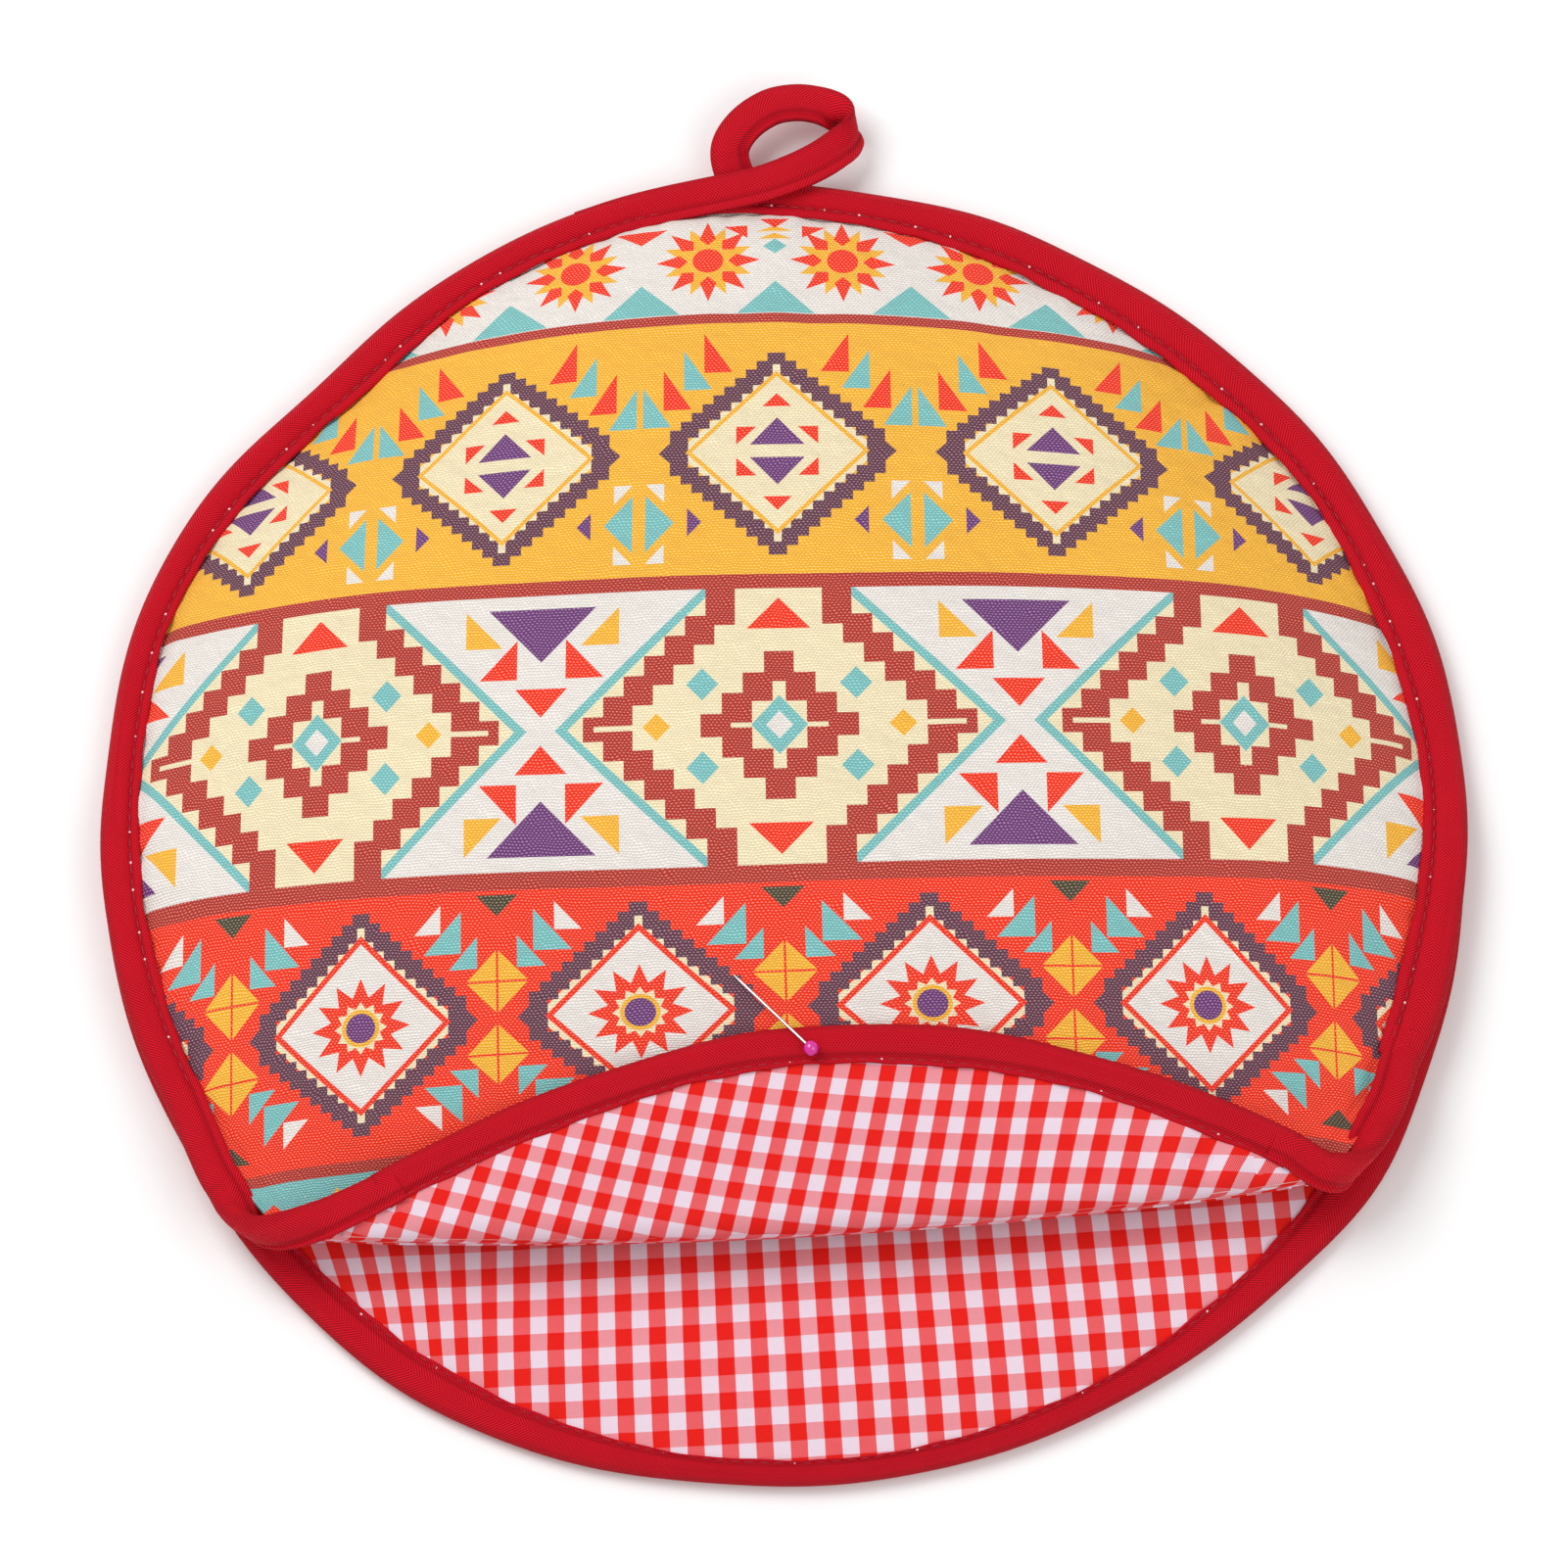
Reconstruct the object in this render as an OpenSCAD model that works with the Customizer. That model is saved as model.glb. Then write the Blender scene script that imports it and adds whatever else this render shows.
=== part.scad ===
// Padded cloth pouch that keeps tortillas warm, with the lip of its mouth turned back.
// Millimetres. The pouch lies on its back: +Z is up, the mouth opens towards -Y and the
// hanging loop points towards +Y. The origin is the middle of the round, on the surface
// that the back panel rests on.

/* [Round] */
// Radius of the pouch over its binding
round_r = 152.5; // [145:0.5:160]
// Height of the front panel's crown above its bound edge
crown_h = 24; // [20:0.5:28]
// How quickly the front panel rises from its edge: lower is fuller
crown_power = 0.6; // [0.55:0.01:0.7]

/* [Cloth layers] */
// Thickness of the printed outer cloth
cover_t = 0.7; // [0.5:0.1:1]
// Thickness of the wadding inside a panel
wadding_t = 4.2; // [3.4:0.1:4.6]
// Thickness of the wadding where the binding grips it
edge_wadding_t = 1.2; // [0.8:0.1:1.6]
// Thickness of the gingham lining
lining_t = 0.5; // [0.3:0.1:0.8]
// Width over which a panel is drawn in towards its binding
draw_in = 11; // [8:0.5:14]

/* [Binding] */
// Width of the binding on the face of a panel
binding_w = 8.75; // [7.5:0.25:10]
// Width of the binding's rounded rib, outside its row of stitches
rib_w = 6.3; // [5.5:0.1:7]
// Thickness of the tape
tape_t = 0.8; // [0.6:0.05:1]
// How far the rib swells over the flat of the tape
rib_puff = 0.3; // [0.1:0.05:0.4]
// Thickness of the tape's turned-under folds inside its rib
rib_depth = 3.8; // [3.2:0.1:4.2]

/* [Mouth] */
// Distance of the mouth's two ends in front of the middle
mouth_y = 8; // [4:0.5:14]
// Height of the line about which the mouth lifts
mouth_hinge_z = 18; // [16:0.5:20]
// How far the mouth lifts, in degrees
mouth_lift = 35; // [20:1:40]

/* [Turned-back lip] */
// Distance from the middle to the straight line between the crease's ends
crease_d = 93.3; // [90:0.1:98]
// Skew of the crease, in degrees
crease_tilt = 3.3; // [0:0.1:4]
// How far the middle of the crease bows out from its ends
crease_bow = 6; // [4:0.5:6]
// How much lower the crease is than the crown, on which the lip lies back
crease_drop = 7.5; // [6:0.5:8]
// Distance from the crease's hinge line to the middle of the lip's edge
lip_length = 46.3; // [44:0.1:48]
// Radius of the lip's edge, which lies flatter than the round it was cut from
lip_r = 212; // [200:1:230]
// How far to the right of the middle the lip is longest
lip_shift = 4; // [0:0.5:6]
// Slope of the lip, which lies back on the front panel, in degrees
lip_slope = 11.5; // [10:0.5:13]

/* [Hanging loop] */
// Width of the loop over its tape
loop_w = 36; // [32:0.5:40]
// Height of the loop over its tape
loop_h = 23; // [21:0.5:25]
// Width of the tape that makes the loop
loop_tape_w = 5.5; // [4.5:0.25:6]
// Thickness of the doubled tape
loop_t = 2.4; // [1.8:0.1:3]
// Distance of the loop's middle outside the round
loop_out = 12.7; // [11.5:0.1:14]
// Lean of the loop, in degrees
loop_lean = 13; // [5:1:15]
// Length of the loop's sewn end to the left of the middle of the round
anchor_left = 27; // [24:0.5:30]
// Length of the loop's sewn end to the right of the middle of the round
anchor_right = 12.5; // [10:0.5:14]

/* [Pin] */
// Diameter of the pin's shank
pin_d = 0.7; // [0.5:0.1:0.9]
// Length of the pin under its head
pin_l = 25; // [23:0.5:26]
// Diameter of the pin's pearl head
pin_head_d = 3.4; // [2.8:0.1:3.8]
// Clearance all round the shank where it passes through the binding
pin_clearance = 0.05; // [0.03:0.01:0.15]

/* [Hidden] */

$fn = 96;

// clearances
layer_gap = 0.1;
body_gap = 0.3;

// the edge of a panel inside its binding
inner_r = round_r - binding_w;
flange_r = round_r - rib_depth;
edge_stack = cover_t + lining_t + edge_wadding_t + 2 * layer_gap;
single_half = edge_stack / 2 + layer_gap;
double_half = edge_stack + layer_gap / 2 + layer_gap;
single_h = single_half + tape_t + rib_puff;
double_h = double_half + tape_t + rib_puff;

// heights of the edges
back_edge_z = single_h - edge_stack / 2;
front_edge_z = back_edge_z + 2 * edge_stack + layer_gap;
flap_binding_z = 2 * single_h + body_gap + single_h;
crease_z = crown_h - crease_drop;
crease_binding_z = crease_z - body_gap - single_h;

// the crease's hinge line lies along the furthest point of its bow
axis_d = crease_d + crease_bow;

// fineness of the surfaces
profile_steps = 12;
flap_rows = 11;
flap_cols = 18;
lip_rows = 8;
lip_cols = 20;
binding_steps = 10;
loop_steps = 48;

function mix(a, b, t) = a + (b - a) * t;
function turned(p, a) = [p.x * cos(a) - p.y * sin(a), p.x * sin(a) + p.y * cos(a)];
function reversed(list) = [for (i = [len(list) - 1:-1:0]) list[i]];

// thickness of the wadding at a distance in from the binding's inner edge
function wadding_at(inset) =
    mix(edge_wadding_t, wadding_t, min(1, max(0, inset) / draw_in));
// depth below a panel's outer face of each face of its layers, for a wadding this thick:
// cover, then wadding, then lining, each with its upper and lower face
function layer_depths(w) = [
    [0, cover_t],
    [cover_t + layer_gap, cover_t + layer_gap + w],
    [cover_t + 2 * layer_gap + w, cover_t + 2 * layer_gap + w + lining_t]
];
function stack_at(inset) = cover_t + lining_t + 2 * layer_gap + wadding_at(inset);

// ---------- surfaces ----------

// A closed sheet between two grids of points, each a list of rows that run towards -Y,
// with the points of a row running towards +X.
module slab(upper, lower) {
    rows = len(upper);
    cols = len(upper[0]);
    n = rows * cols;
    points = concat([for (row = upper) each row], [for (row = lower) each row]);
    faces = [
        for (i = [0:rows - 2], j = [0:cols - 2])
            let (a = i * cols + j)
            each [[a, a + 1, a + cols + 1], [a, a + cols + 1, a + cols],
                  [a + n, a + n + cols + 1, a + n + 1], [a + n, a + n + cols, a + n + cols + 1]],
        for (j = [0:cols - 2])
            each [[j + 1, j, j + n], [j + 1, j + n, j + n + 1]],
        for (j = [0:cols - 2])
            let (p = (rows - 1) * cols + j)
            each [[p, p + 1, p + 1 + n], [p, p + 1 + n, p + n]],
        for (i = [0:rows - 2])
            let (a = i * cols)
            each [[a, a + cols, a + cols + n], [a, a + cols + n, a + n]],
        for (i = [0:rows - 2])
            let (q = i * cols + cols - 1)
            each [[q + cols, q, q + n], [q + cols, q + n, q + cols + n]]
    ];
    polyhedron(points = points, faces = faces, convexity = 4);
}

// ---------- binding ----------

// The binding's outer face as [distance in from the outer edge, height over its middle]:
// a turned-under bead, the stitched groove and the rounded rib, over the top and back below.
function tape_upper(half) = [
    [binding_w, half + 0.25 * tape_t],
    [binding_w - 0.7, half + tape_t],
    [rib_w + 0.4, half + 0.7 * tape_t],
    [rib_w - 0.9, half + tape_t + 0.7 * rib_puff],
    [0.45 * rib_w, half + tape_t + rib_puff],
    [0.17 * rib_w, 0.72 * (half + tape_t)],
    [0, 0]
];
function flipped(list) = [for (p = reversed(list)) [p[0], -p[1]]];
function tape_outer(half) =
    let (up = tape_upper(half))
    concat(up, [for (i = [1:len(up) - 1]) flipped(up)[i]]);
// the pocket inside the tape that the panel's edge lies in
function tape_inner(half) = [
    [binding_w, half], [binding_w - 0.7, half], [rib_w + 0.4, half], [rib_w - 0.9, half],
    [rib_depth + 0.3, half], [rib_depth - layer_gap, half],
    [rib_depth - layer_gap, 0],
    [rib_depth - layer_gap, -half], [rib_depth + 0.3, -half],
    [rib_w - 0.9, -half], [rib_w + 0.4, -half], [binding_w - 0.7, -half], [binding_w, -half]
];

// A level arc of binding of radius r from one angle to another, with its middle at height z
module binding_arc(half, z, from, to, r = round_r) {
    section = concat(tape_outer(half), reversed(tape_inner(half)));
    translate([0, 0, z])
        rotate([0, 0, from])
            rotate_extrude(angle = to - from)
                polygon([for (p = section) [r - p[0], p[1]]]);
}

// ---------- back panel ----------

// height of the back panel's outer face, which is flat where it rests
function back_z(r) = back_edge_z * (1 - min(1, max(0, inner_r - r) / draw_in));

module back_layer(k) {
    radii = [0, inner_r - draw_in, inner_r - draw_in / 2, inner_r, flange_r];
    upper = [for (r = radii) [r, back_z(r) + layer_depths(wadding_at(inner_r - r))[k][1]]];
    lower = [for (r = radii) [r, back_z(r) + layer_depths(wadding_at(inner_r - r))[k][0]]];
    rotate_extrude()
        polygon(concat(lower, reversed(upper)));
}

module back_cover() {
    color("coral")
        back_layer(0);
}

module back_wadding() {
    color("ivory")
        back_layer(1);
}

module back_lining() {
    color("lightpink")
        back_layer(2);
}

mouth_angle = asin(mouth_y / round_r);

module back_mouth_binding() {
    color("firebrick")
        binding_arc(single_half, single_h, 180 + mouth_angle + 0.2, 360 - mouth_angle - 0.2);
}

// ---------- front panel, sewn half ----------

// height of the front panel's outer face over its bound edge
function crown_at(r) = crown_h * pow(max(0, 1 - pow(min(r, inner_r) / inner_r, 2)), crown_power);
function front_z(r) = front_edge_z + crown_at(r);

// Everything behind the mouth's hinge line, cut back above it to leave room for the lift
module behind_mouth() {
    reach = 2 * round_r;
    y0 = body_gap / 2 - mouth_y;
    rotate([90, 0, 90])
        translate([0, 0, -reach / 2])
            linear_extrude(reach)
                polygon([
                    [y0, -1], [y0, mouth_hinge_z],
                    [y0 + reach * tan(mouth_lift / 2), mouth_hinge_z + reach],
                    [reach, mouth_hinge_z + reach], [reach, -1]
                ]);
}

module front_layer(k) {
    radii = concat([for (i = [0:profile_steps]) inner_r * sin(90 * i / profile_steps)], [flange_r]);
    upper = [for (r = radii) [r, front_z(r) - layer_depths(wadding_at(inner_r - r))[k][0]]];
    lower = [for (r = radii) [r, front_z(r) - layer_depths(wadding_at(inner_r - r))[k][1]]];
    intersection() {
        rotate_extrude()
            polygon(concat(lower, reversed(upper)));
        behind_mouth();
    }
}

module front_cover() {
    color("orange")
        front_layer(0);
}

module front_wadding() {
    color("ivory")
        front_layer(1);
}

module front_lining() {
    color("lightpink")
        front_layer(2);
}

module rim_binding() {
    color("firebrick")
        binding_arc(double_half, double_h, -mouth_angle + 0.15, 180 + mouth_angle - 0.15);
}

// ---------- front panel, free flap from the mouth's ends to the crease ----------

// Row v of the flap runs from side to side; v is 0 at the hinge line and 1 at the crease.
function flap_row_d(v) = mix(mouth_y + body_gap / 2, crease_d, v);
function flap_lift_in(v) = v * v;
// the edges keep clear of the crease's hinge line
function flap_bow(v, x, half) =
    (crease_bow - body_gap) * v * v * (1 - pow(x / half, 2));

// places across a row: the two bound edges and the even steps between them
function flap_row_x(v) =
    let (d = flap_row_d(v), outer = sqrt(pow(flange_r, 2) - d * d), inner = sqrt(pow(inner_r, 2) - d * d))
    concat([-outer], [for (j = [0:flap_cols]) mix(-inner, inner, j / flap_cols)], [outer]);

// outer face of the flap: the crown of the front panel, eased to the level of the crease
function flap_z(v, p, bound) =
    let (w = flap_lift_in(v), r = norm(p))
    bound
        ? mix(flap_binding_z, crease_binding_z, w) + edge_stack / 2
        : mix(front_z(r) + (flap_binding_z + edge_stack / 2 - front_edge_z) * pow(min(1, r / inner_r), 8),
              crease_z - body_gap / 2, w);

// the layers thin together in a round nose at the crease
function nose(v) =
    let (t = stack_at(draw_in), away = (1 - v) * (crease_d - mouth_y))
    away >= t ? 1 : max(0.4, sqrt(1 - pow(1 - away / t, 2)));

function flap_point(v, x, bound, k, side) =
    let (
        half = sqrt(pow(flange_r, 2) - pow(flap_row_d(v), 2)),
        flat = turned([x, -(flap_row_d(v) + flap_bow(v, x, half))], crease_tilt * v),
        depth = layer_depths(bound ? edge_wadding_t : wadding_at(inner_r - norm(flat)))[k][side],
        z = flap_z(v, flat, bound) - depth * (bound ? 1 : nose(v)),
        // lean the end at the hinge line forward above it, to leave room for the lift
        lean = pow(1 - v, 6) * max(0, z - mouth_hinge_z) * tan(mouth_lift / 2)
    )
    [flat.x, flat.y - lean, z];

function flap_grid(k, side) = [
    for (i = [0:flap_rows])
        let (v = sin(90 * i / flap_rows), xs = flap_row_x(v), last = len(xs) - 1)
        [for (j = [0:last]) flap_point(v, xs[j], j <= 1 || j >= last - 1, k, side)]
];

module flap_layer(k) {
    slab(flap_grid(k, 0), flap_grid(k, 1));
}

module flap_cover() {
    color("orange")
        flap_layer(0);
}

module flap_wadding() {
    color("ivory")
        flap_layer(1);
}

module flap_lining() {
    color("lightpink")
        flap_layer(2);
}

// A rising arc of binding along one side of the flap: side is -1 on the left, 1 on the right
module flap_binding(side) {
    outer = tape_outer(single_half);
    inner = tape_inner(single_half);
    function place(v, p) =
        let (
            d = flap_row_d(v),
            flat = turned([side * sqrt(pow(round_r - p[0], 2) - d * d), -d], crease_tilt * v)
        )
        [flat.x, flat.y, mix(flap_binding_z, crease_binding_z, flap_lift_in(v)) + p[1]];
    function ring(v, list) = [for (p = side < 0 ? reversed(list) : list) place(v, p)];
    steps = [for (i = [0:binding_steps]) i / binding_steps];
    slab([for (v = steps) ring(v, outer)], [for (v = steps) ring(v, inner)]);
}

module flap_binding_left() {
    color("firebrick")
        flap_binding(-1);
}

module flap_binding_right() {
    color("firebrick")
        flap_binding(1);
}

// ---------- turned-back lip ----------

// The lip is laid out flat, as [along the crease, distance from the hinge line, height over
// the lip's printed face], and then placed on the front panel.
module place_lip() {
    rotate([0, 0, crease_tilt])
        translate([0, -axis_d, crease_z])
            rotate([lip_slope, 0, 0])
                children();
}

lip_half = sqrt(pow(flange_r, 2) - pow(crease_d, 2));
// the lip's layers stop where its binding comes in to the crease
lip_reach = sqrt(pow(lip_r - binding_w, 2) - pow(lip_r - lip_length + crease_bow + 1, 2));
lip_edge_n = body_gap + tape_t + rib_puff + layer_gap;

// distance of a point of the lip in from its edge, and of a line that far in from the hinge line
function lip_inset(x, w) = lip_r - norm([x - lip_shift, w + lip_r - lip_length]);
function lip_end(x, inset) = sqrt(pow(lip_r - inset, 2) - pow(x - lip_shift, 2)) - lip_r + lip_length;
function lip_start(x) = body_gap / 2 + crease_bow * pow(x / lip_half, 2);

function lip_point(x, q, k, side) =
    let (
        bound = q < 0,
        start = lip_start(x),
        w = bound ? lip_end(x, rib_depth) : mix(start, lip_end(x, binding_w), q),
        inset = lip_inset(x, w) - binding_w,
        full = stack_at(draw_in),
        stack = stack_at(inset),
        // height of the printed face, drawn in towards the binding
        base = mix(lip_edge_n, body_gap / 2, min(1, max(0, inset) / draw_in)),
        up = stack - layer_depths(wadding_at(inset))[k][side],
        away = w - start,
        thin = bound || away >= full ? 1 : max(0.4, sqrt(1 - pow(1 - away / full, 2)))
    )
    [x, w, base + (stack - up) * thin];

function lip_grid(k, side) =
    let (qs = concat([-1], [for (i = [0:lip_rows]) cos(90 * i / lip_rows)]))
    [for (q = qs) [
        for (j = [0:lip_cols]) lip_point(lip_shift + lip_reach * mix(-1, 1, j / lip_cols), q, k, side)
    ]];

module lip_layer(k) {
    place_lip()
        slab(lip_grid(k, 1), lip_grid(k, 0));
}

module lip_cover() {
    color("orange")
        lip_layer(0);
}

module lip_wadding() {
    color("ivory")
        lip_layer(1);
}

module lip_lining() {
    color("lightpink")
        lip_layer(2);
}

// the pin's line, in the lip's own layout
pin_head_at = [2.6, lip_length - 0.6 * binding_w, lip_edge_n + 5.5];
pin_way = [-0.646, 0.719, -0.255] / norm([-0.646, 0.719, -0.255]);

// turns +Z on to the pin's line, from its head to its tip
module along_pin() {
    translate(pin_head_at)
        rotate([0, acos(pin_way.z), atan2(pin_way.y, pin_way.x)])
            children();
}

// The lip's binding stops at the round's own edge, and at the line between the crease's ends
module lip_binding() {
    reach = 2 * round_r;
    span = asin(round_r / lip_r);
    color("firebrick")
        place_lip()
            difference() {
                intersection() {
                    translate([lip_shift, lip_length - lip_r, 0])
                        binding_arc(single_half, body_gap + single_h, 90 - span, 90 + span, lip_r);
                    translate([0, axis_d, -1])
                        cylinder(h = 4 * single_h, r = round_r, $fn = 180);
                    translate([-reach / 2, crease_bow, -1])
                        cube([reach, reach, 4 * single_h]);
                }
                along_pin()
                    cylinder(h = pin_l, d = pin_d + 2 * pin_clearance, $fn = 24);
            }
}

// ---------- pin ----------

module pin_shank() {
    point_l = 2.5;
    color("silver")
        place_lip()
            along_pin() {
                translate([0, 0, pin_head_d / 2 - 0.4])
                    cylinder(h = pin_l - point_l - pin_head_d / 2 + 0.4, d = pin_d, $fn = 24);
                translate([0, 0, pin_l - point_l])
                    cylinder(h = point_l, d1 = pin_d, d2 = 0.1, $fn = 24);
            }
}

module pin_head() {
    color("deeppink")
        place_lip()
            along_pin()
                difference() {
                    sphere(d = pin_head_d, $fn = 48);
                    translate([0, 0, pin_head_d / 2 - 0.5])
                        cylinder(h = pin_head_d, d = pin_d + 0.02, $fn = 24);
                }
}

// ---------- hanging loop ----------

loop_z = 2 * double_h + layer_gap;
// the line where the free loop leaves the tape that is sewn to the rim
loop_root_y = round_r + 2;
// distance of the loop's middle from the middle of the round
loop_y = round_r + loop_out;

module oval(w, h) {
    polygon([for (i = [0:loop_steps - 1]) [w / 2 * cos(360 * i / loop_steps), h / 2 * sin(360 * i / loop_steps)]]);
}

// The sewn end of the tape, which crosses the rim's binding beside the loop
module loop_anchor() {
    top = loop_root_y - body_gap;
    color("brown")
        translate([0, 0, loop_z])
            linear_extrude(loop_t)
                polygon([
                    [-anchor_left, inner_r + 2.2], [-anchor_left, round_r - 1.5],
                    [-0.74 * anchor_left, top], [0.92 * anchor_right, top],
                    [anchor_right, round_r - 2.5], [-0.16 * anchor_right, inner_r + 1.2]
                ]);
}

// The free loop: an oval ring of tape, cut off along the line where it leaves the rim
module hanging_loop() {
    color("brown")
        translate([0, 0, loop_z])
            linear_extrude(loop_t)
                intersection() {
                    translate([0, loop_y])
                        rotate(loop_lean)
                            difference() {
                                oval(loop_w, loop_h);
                                oval(loop_w - 2 * loop_tape_w, loop_h - 2 * loop_tape_w);
                            }
                    translate([-loop_w, loop_root_y])
                        square(2 * loop_w);
                }
}

// ---------- nodes ----------

back_cover();
back_wadding();
back_lining();
back_mouth_binding();
front_cover();
front_wadding();
front_lining();
rim_binding();
loop_anchor();
hanging_loop();
flap_cover();
flap_wadding();
flap_lining();
flap_binding_left();
flap_binding_right();
lip_cover();
lip_wadding();
lip_lining();
lip_binding();
pin_shank();
pin_head();
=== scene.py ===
"""Looks for the padded cloth pouch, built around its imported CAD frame.

Sizes are in millimetres until a mesh is made, and repeat those of the part's source. The pouch
lies on its back: +Z is up, the mouth opens towards -Y and the hanging loop points towards +Y.
"""

import math

import bpy
import numpy as np
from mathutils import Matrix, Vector


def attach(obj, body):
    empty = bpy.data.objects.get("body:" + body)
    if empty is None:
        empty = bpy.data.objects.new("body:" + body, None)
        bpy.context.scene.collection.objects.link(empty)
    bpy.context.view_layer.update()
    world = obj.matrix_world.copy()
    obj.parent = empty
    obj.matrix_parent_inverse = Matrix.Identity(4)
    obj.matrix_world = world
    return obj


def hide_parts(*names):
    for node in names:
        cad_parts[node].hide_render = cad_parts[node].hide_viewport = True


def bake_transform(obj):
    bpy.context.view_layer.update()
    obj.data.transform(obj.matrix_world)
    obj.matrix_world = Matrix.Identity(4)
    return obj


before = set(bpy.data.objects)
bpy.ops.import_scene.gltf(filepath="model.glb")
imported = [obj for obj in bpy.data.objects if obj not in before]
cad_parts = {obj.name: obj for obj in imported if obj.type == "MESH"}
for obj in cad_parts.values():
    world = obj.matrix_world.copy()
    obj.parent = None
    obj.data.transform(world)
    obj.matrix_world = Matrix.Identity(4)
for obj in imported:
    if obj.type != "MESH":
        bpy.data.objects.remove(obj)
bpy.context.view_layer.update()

MM = 0.001

# ---------- sizes of the part ----------

ROUND_R = 152.5  # over the binding
BINDING_W = 8.75
INNER_R = ROUND_R - BINDING_W
FLANGE_R = ROUND_R - 3.8
CROWN_H = 24
CROWN_POWER = 0.6
FRONT_EDGE_Z = 6.5  # outer face of the front panel where it enters the binding
BACK_EDGE_Z = 1.2
COVER_T, WADDING_T, LINING_T, LAYER_GAP = 0.7, 4.2, 0.5, 0.1
DRAW_IN = 11  # how far in from the binding the panels come to their full thickness
STACK = COVER_T + WADDING_T + LINING_T + 2 * LAYER_GAP
TUCK = 1.4  # how far the cloth goes in under the binding
CUT_R = INNER_R + TUCK

SINGLE_HALF, DOUBLE_HALF = 1.4, 2.75  # half of what the tape wraps: one panel, or both
RIM_Z, FLAP_Z, CREASE_TAPE_Z, BACK_TAPE_Z = 3.85, 7.8, 13.7, 2.5  # middle of the tape
TAPE_T, RIB_PUFF, RIB_W = 0.8, 0.3, 6.3
LINING_SEAM = 7.6  # the stitches come out nearer the tape's inner edge on the lining's side
TAPE_R = ROUND_R - BINDING_W / 2  # the tape's middle
PIVOT = 3.0  # how far in from its outer edge the tape's rib has its middle

HINGE_D = 8.15  # the mouth's hinge line, in front of the middle
CREASE_D = 93.3  # the fold's two ends, in front of the middle
CREASE_TILT = math.radians(3.3)
CREASE_BOW = 5.7
CREASE_HALF = math.sqrt(FLANGE_R**2 - CREASE_D**2)
CREASE_Z = CROWN_H - 7.5
PRINT_GAP = 0.15  # how far the flap's printed face and the lip's lie from the crease's height
AXIS_D = 99.3  # the lip's hinge line
LIP_SLOPE = math.radians(11.5)
LIP_LENGTH = 46.3
LIP_R = 212
LIP_SHIFT = 4

# ---------- the photo's view ----------

PHOTO_SIDE = 1601  # pixels
PHOTO_SCALE = 4.57  # pixels in a millimetre at the pouch
PHOTO_CENTRE = (800, 843.5)  # where the middle of the round is in the photo
ELEVATION = math.radians(72)
CAMERA_AWAY = 4000
TARGET = np.array([0.0, 0.0, 5.0])
VIEW = np.array([0, math.cos(ELEVATION), -math.sin(ELEVATION)])
VIEW_UP = np.array([0, math.sin(ELEVATION), math.cos(ELEVATION)])


def seen_at(px, py, z):
    """The point at height z that the photo shows at that pixel."""
    reach = PHOTO_SCALE * CAMERA_AWAY
    ray = VIEW + np.array([(px - PHOTO_CENTRE[0]) / reach, 0, 0])
    ray = ray - VIEW_UP * (py - PHOTO_CENTRE[1]) / reach
    eye = TARGET - VIEW * CAMERA_AWAY
    return eye + ray * (z - eye[2]) / ray[2]


def mix(a, b, t):
    return a + (b - a) * t


def smooth(t):
    """0 to 1, easing in and out, for t from 0 to 1."""
    t = np.clip(t, 0, 1)
    return t * t * (3 - 2 * t)


def spin(x, y, a):
    return x * np.cos(a) - y * np.sin(a), x * np.sin(a) + y * np.cos(a)


def ripple(angle, counts, seed):
    """A ripple round a circle, a sum of whole numbers of waves so that it closes on itself."""
    rng = np.random.default_rng(seed)
    waves = [np.sin(n * angle + rng.uniform(0, 2 * math.pi)) for n in counts]
    return sum(waves) / math.sqrt(len(counts))


def swell(x, y, size, seed):
    """A soft unevenness over a plane, of about that many millimetres from hill to hill."""
    rng = np.random.default_rng(seed)
    total = 0
    for k in range(5):
        a, phase = rng.uniform(0, 2 * math.pi), rng.uniform(0, 2 * math.pi)
        w = 2 * math.pi / (size * rng.uniform(0.7, 1.5))
        total = total + np.sin(w * (x * math.cos(a) + y * math.sin(a)) + phase)
    return total / 5


# ---------- mesh building ----------


def adjust(thing, **settings):
    for key, value in settings.items():
        setattr(thing, key, value)
    return thing


def in_scene(name, data):
    obj = bpy.data.objects.new(name, data)
    bpy.context.scene.collection.objects.link(obj)
    return obj


def mesh_object(name, points, faces, **fields):
    """A smooth mesh in the row frame. fields are up to three numbers for each of its points."""
    mesh = bpy.data.meshes.new(name)
    mesh.from_pydata((points * MM).tolist(), [], faces)
    mesh.polygons.foreach_set("use_smooth", np.ones(len(faces), bool))
    for field, values in fields.items():
        data = mesh.attributes.new(field, "FLOAT_VECTOR", "POINT").data
        wide = np.zeros((len(points), 3), np.float32)
        wide[:, : values.shape[-1]] = values.reshape(-1, values.shape[-1])
        data.foreach_set("vector", wide.ravel())
    mesh.update()
    return in_scene(name, mesh)


def grid_faces(rows, cols, round_cols=False, flip=False, first=0):
    """The four corners of each face of a grid whose points are numbered row by row from first."""
    i, j = np.arange(rows - 1)[:, None], np.arange(cols if round_cols else cols - 1)
    a, b = i * cols + j, i * cols + (j + 1) % cols
    faces = np.stack([a, b, b + cols, a + cols], -1).reshape(-1, 4) + first
    return (faces[:, ::-1] if flip else faces).tolist()


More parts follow.
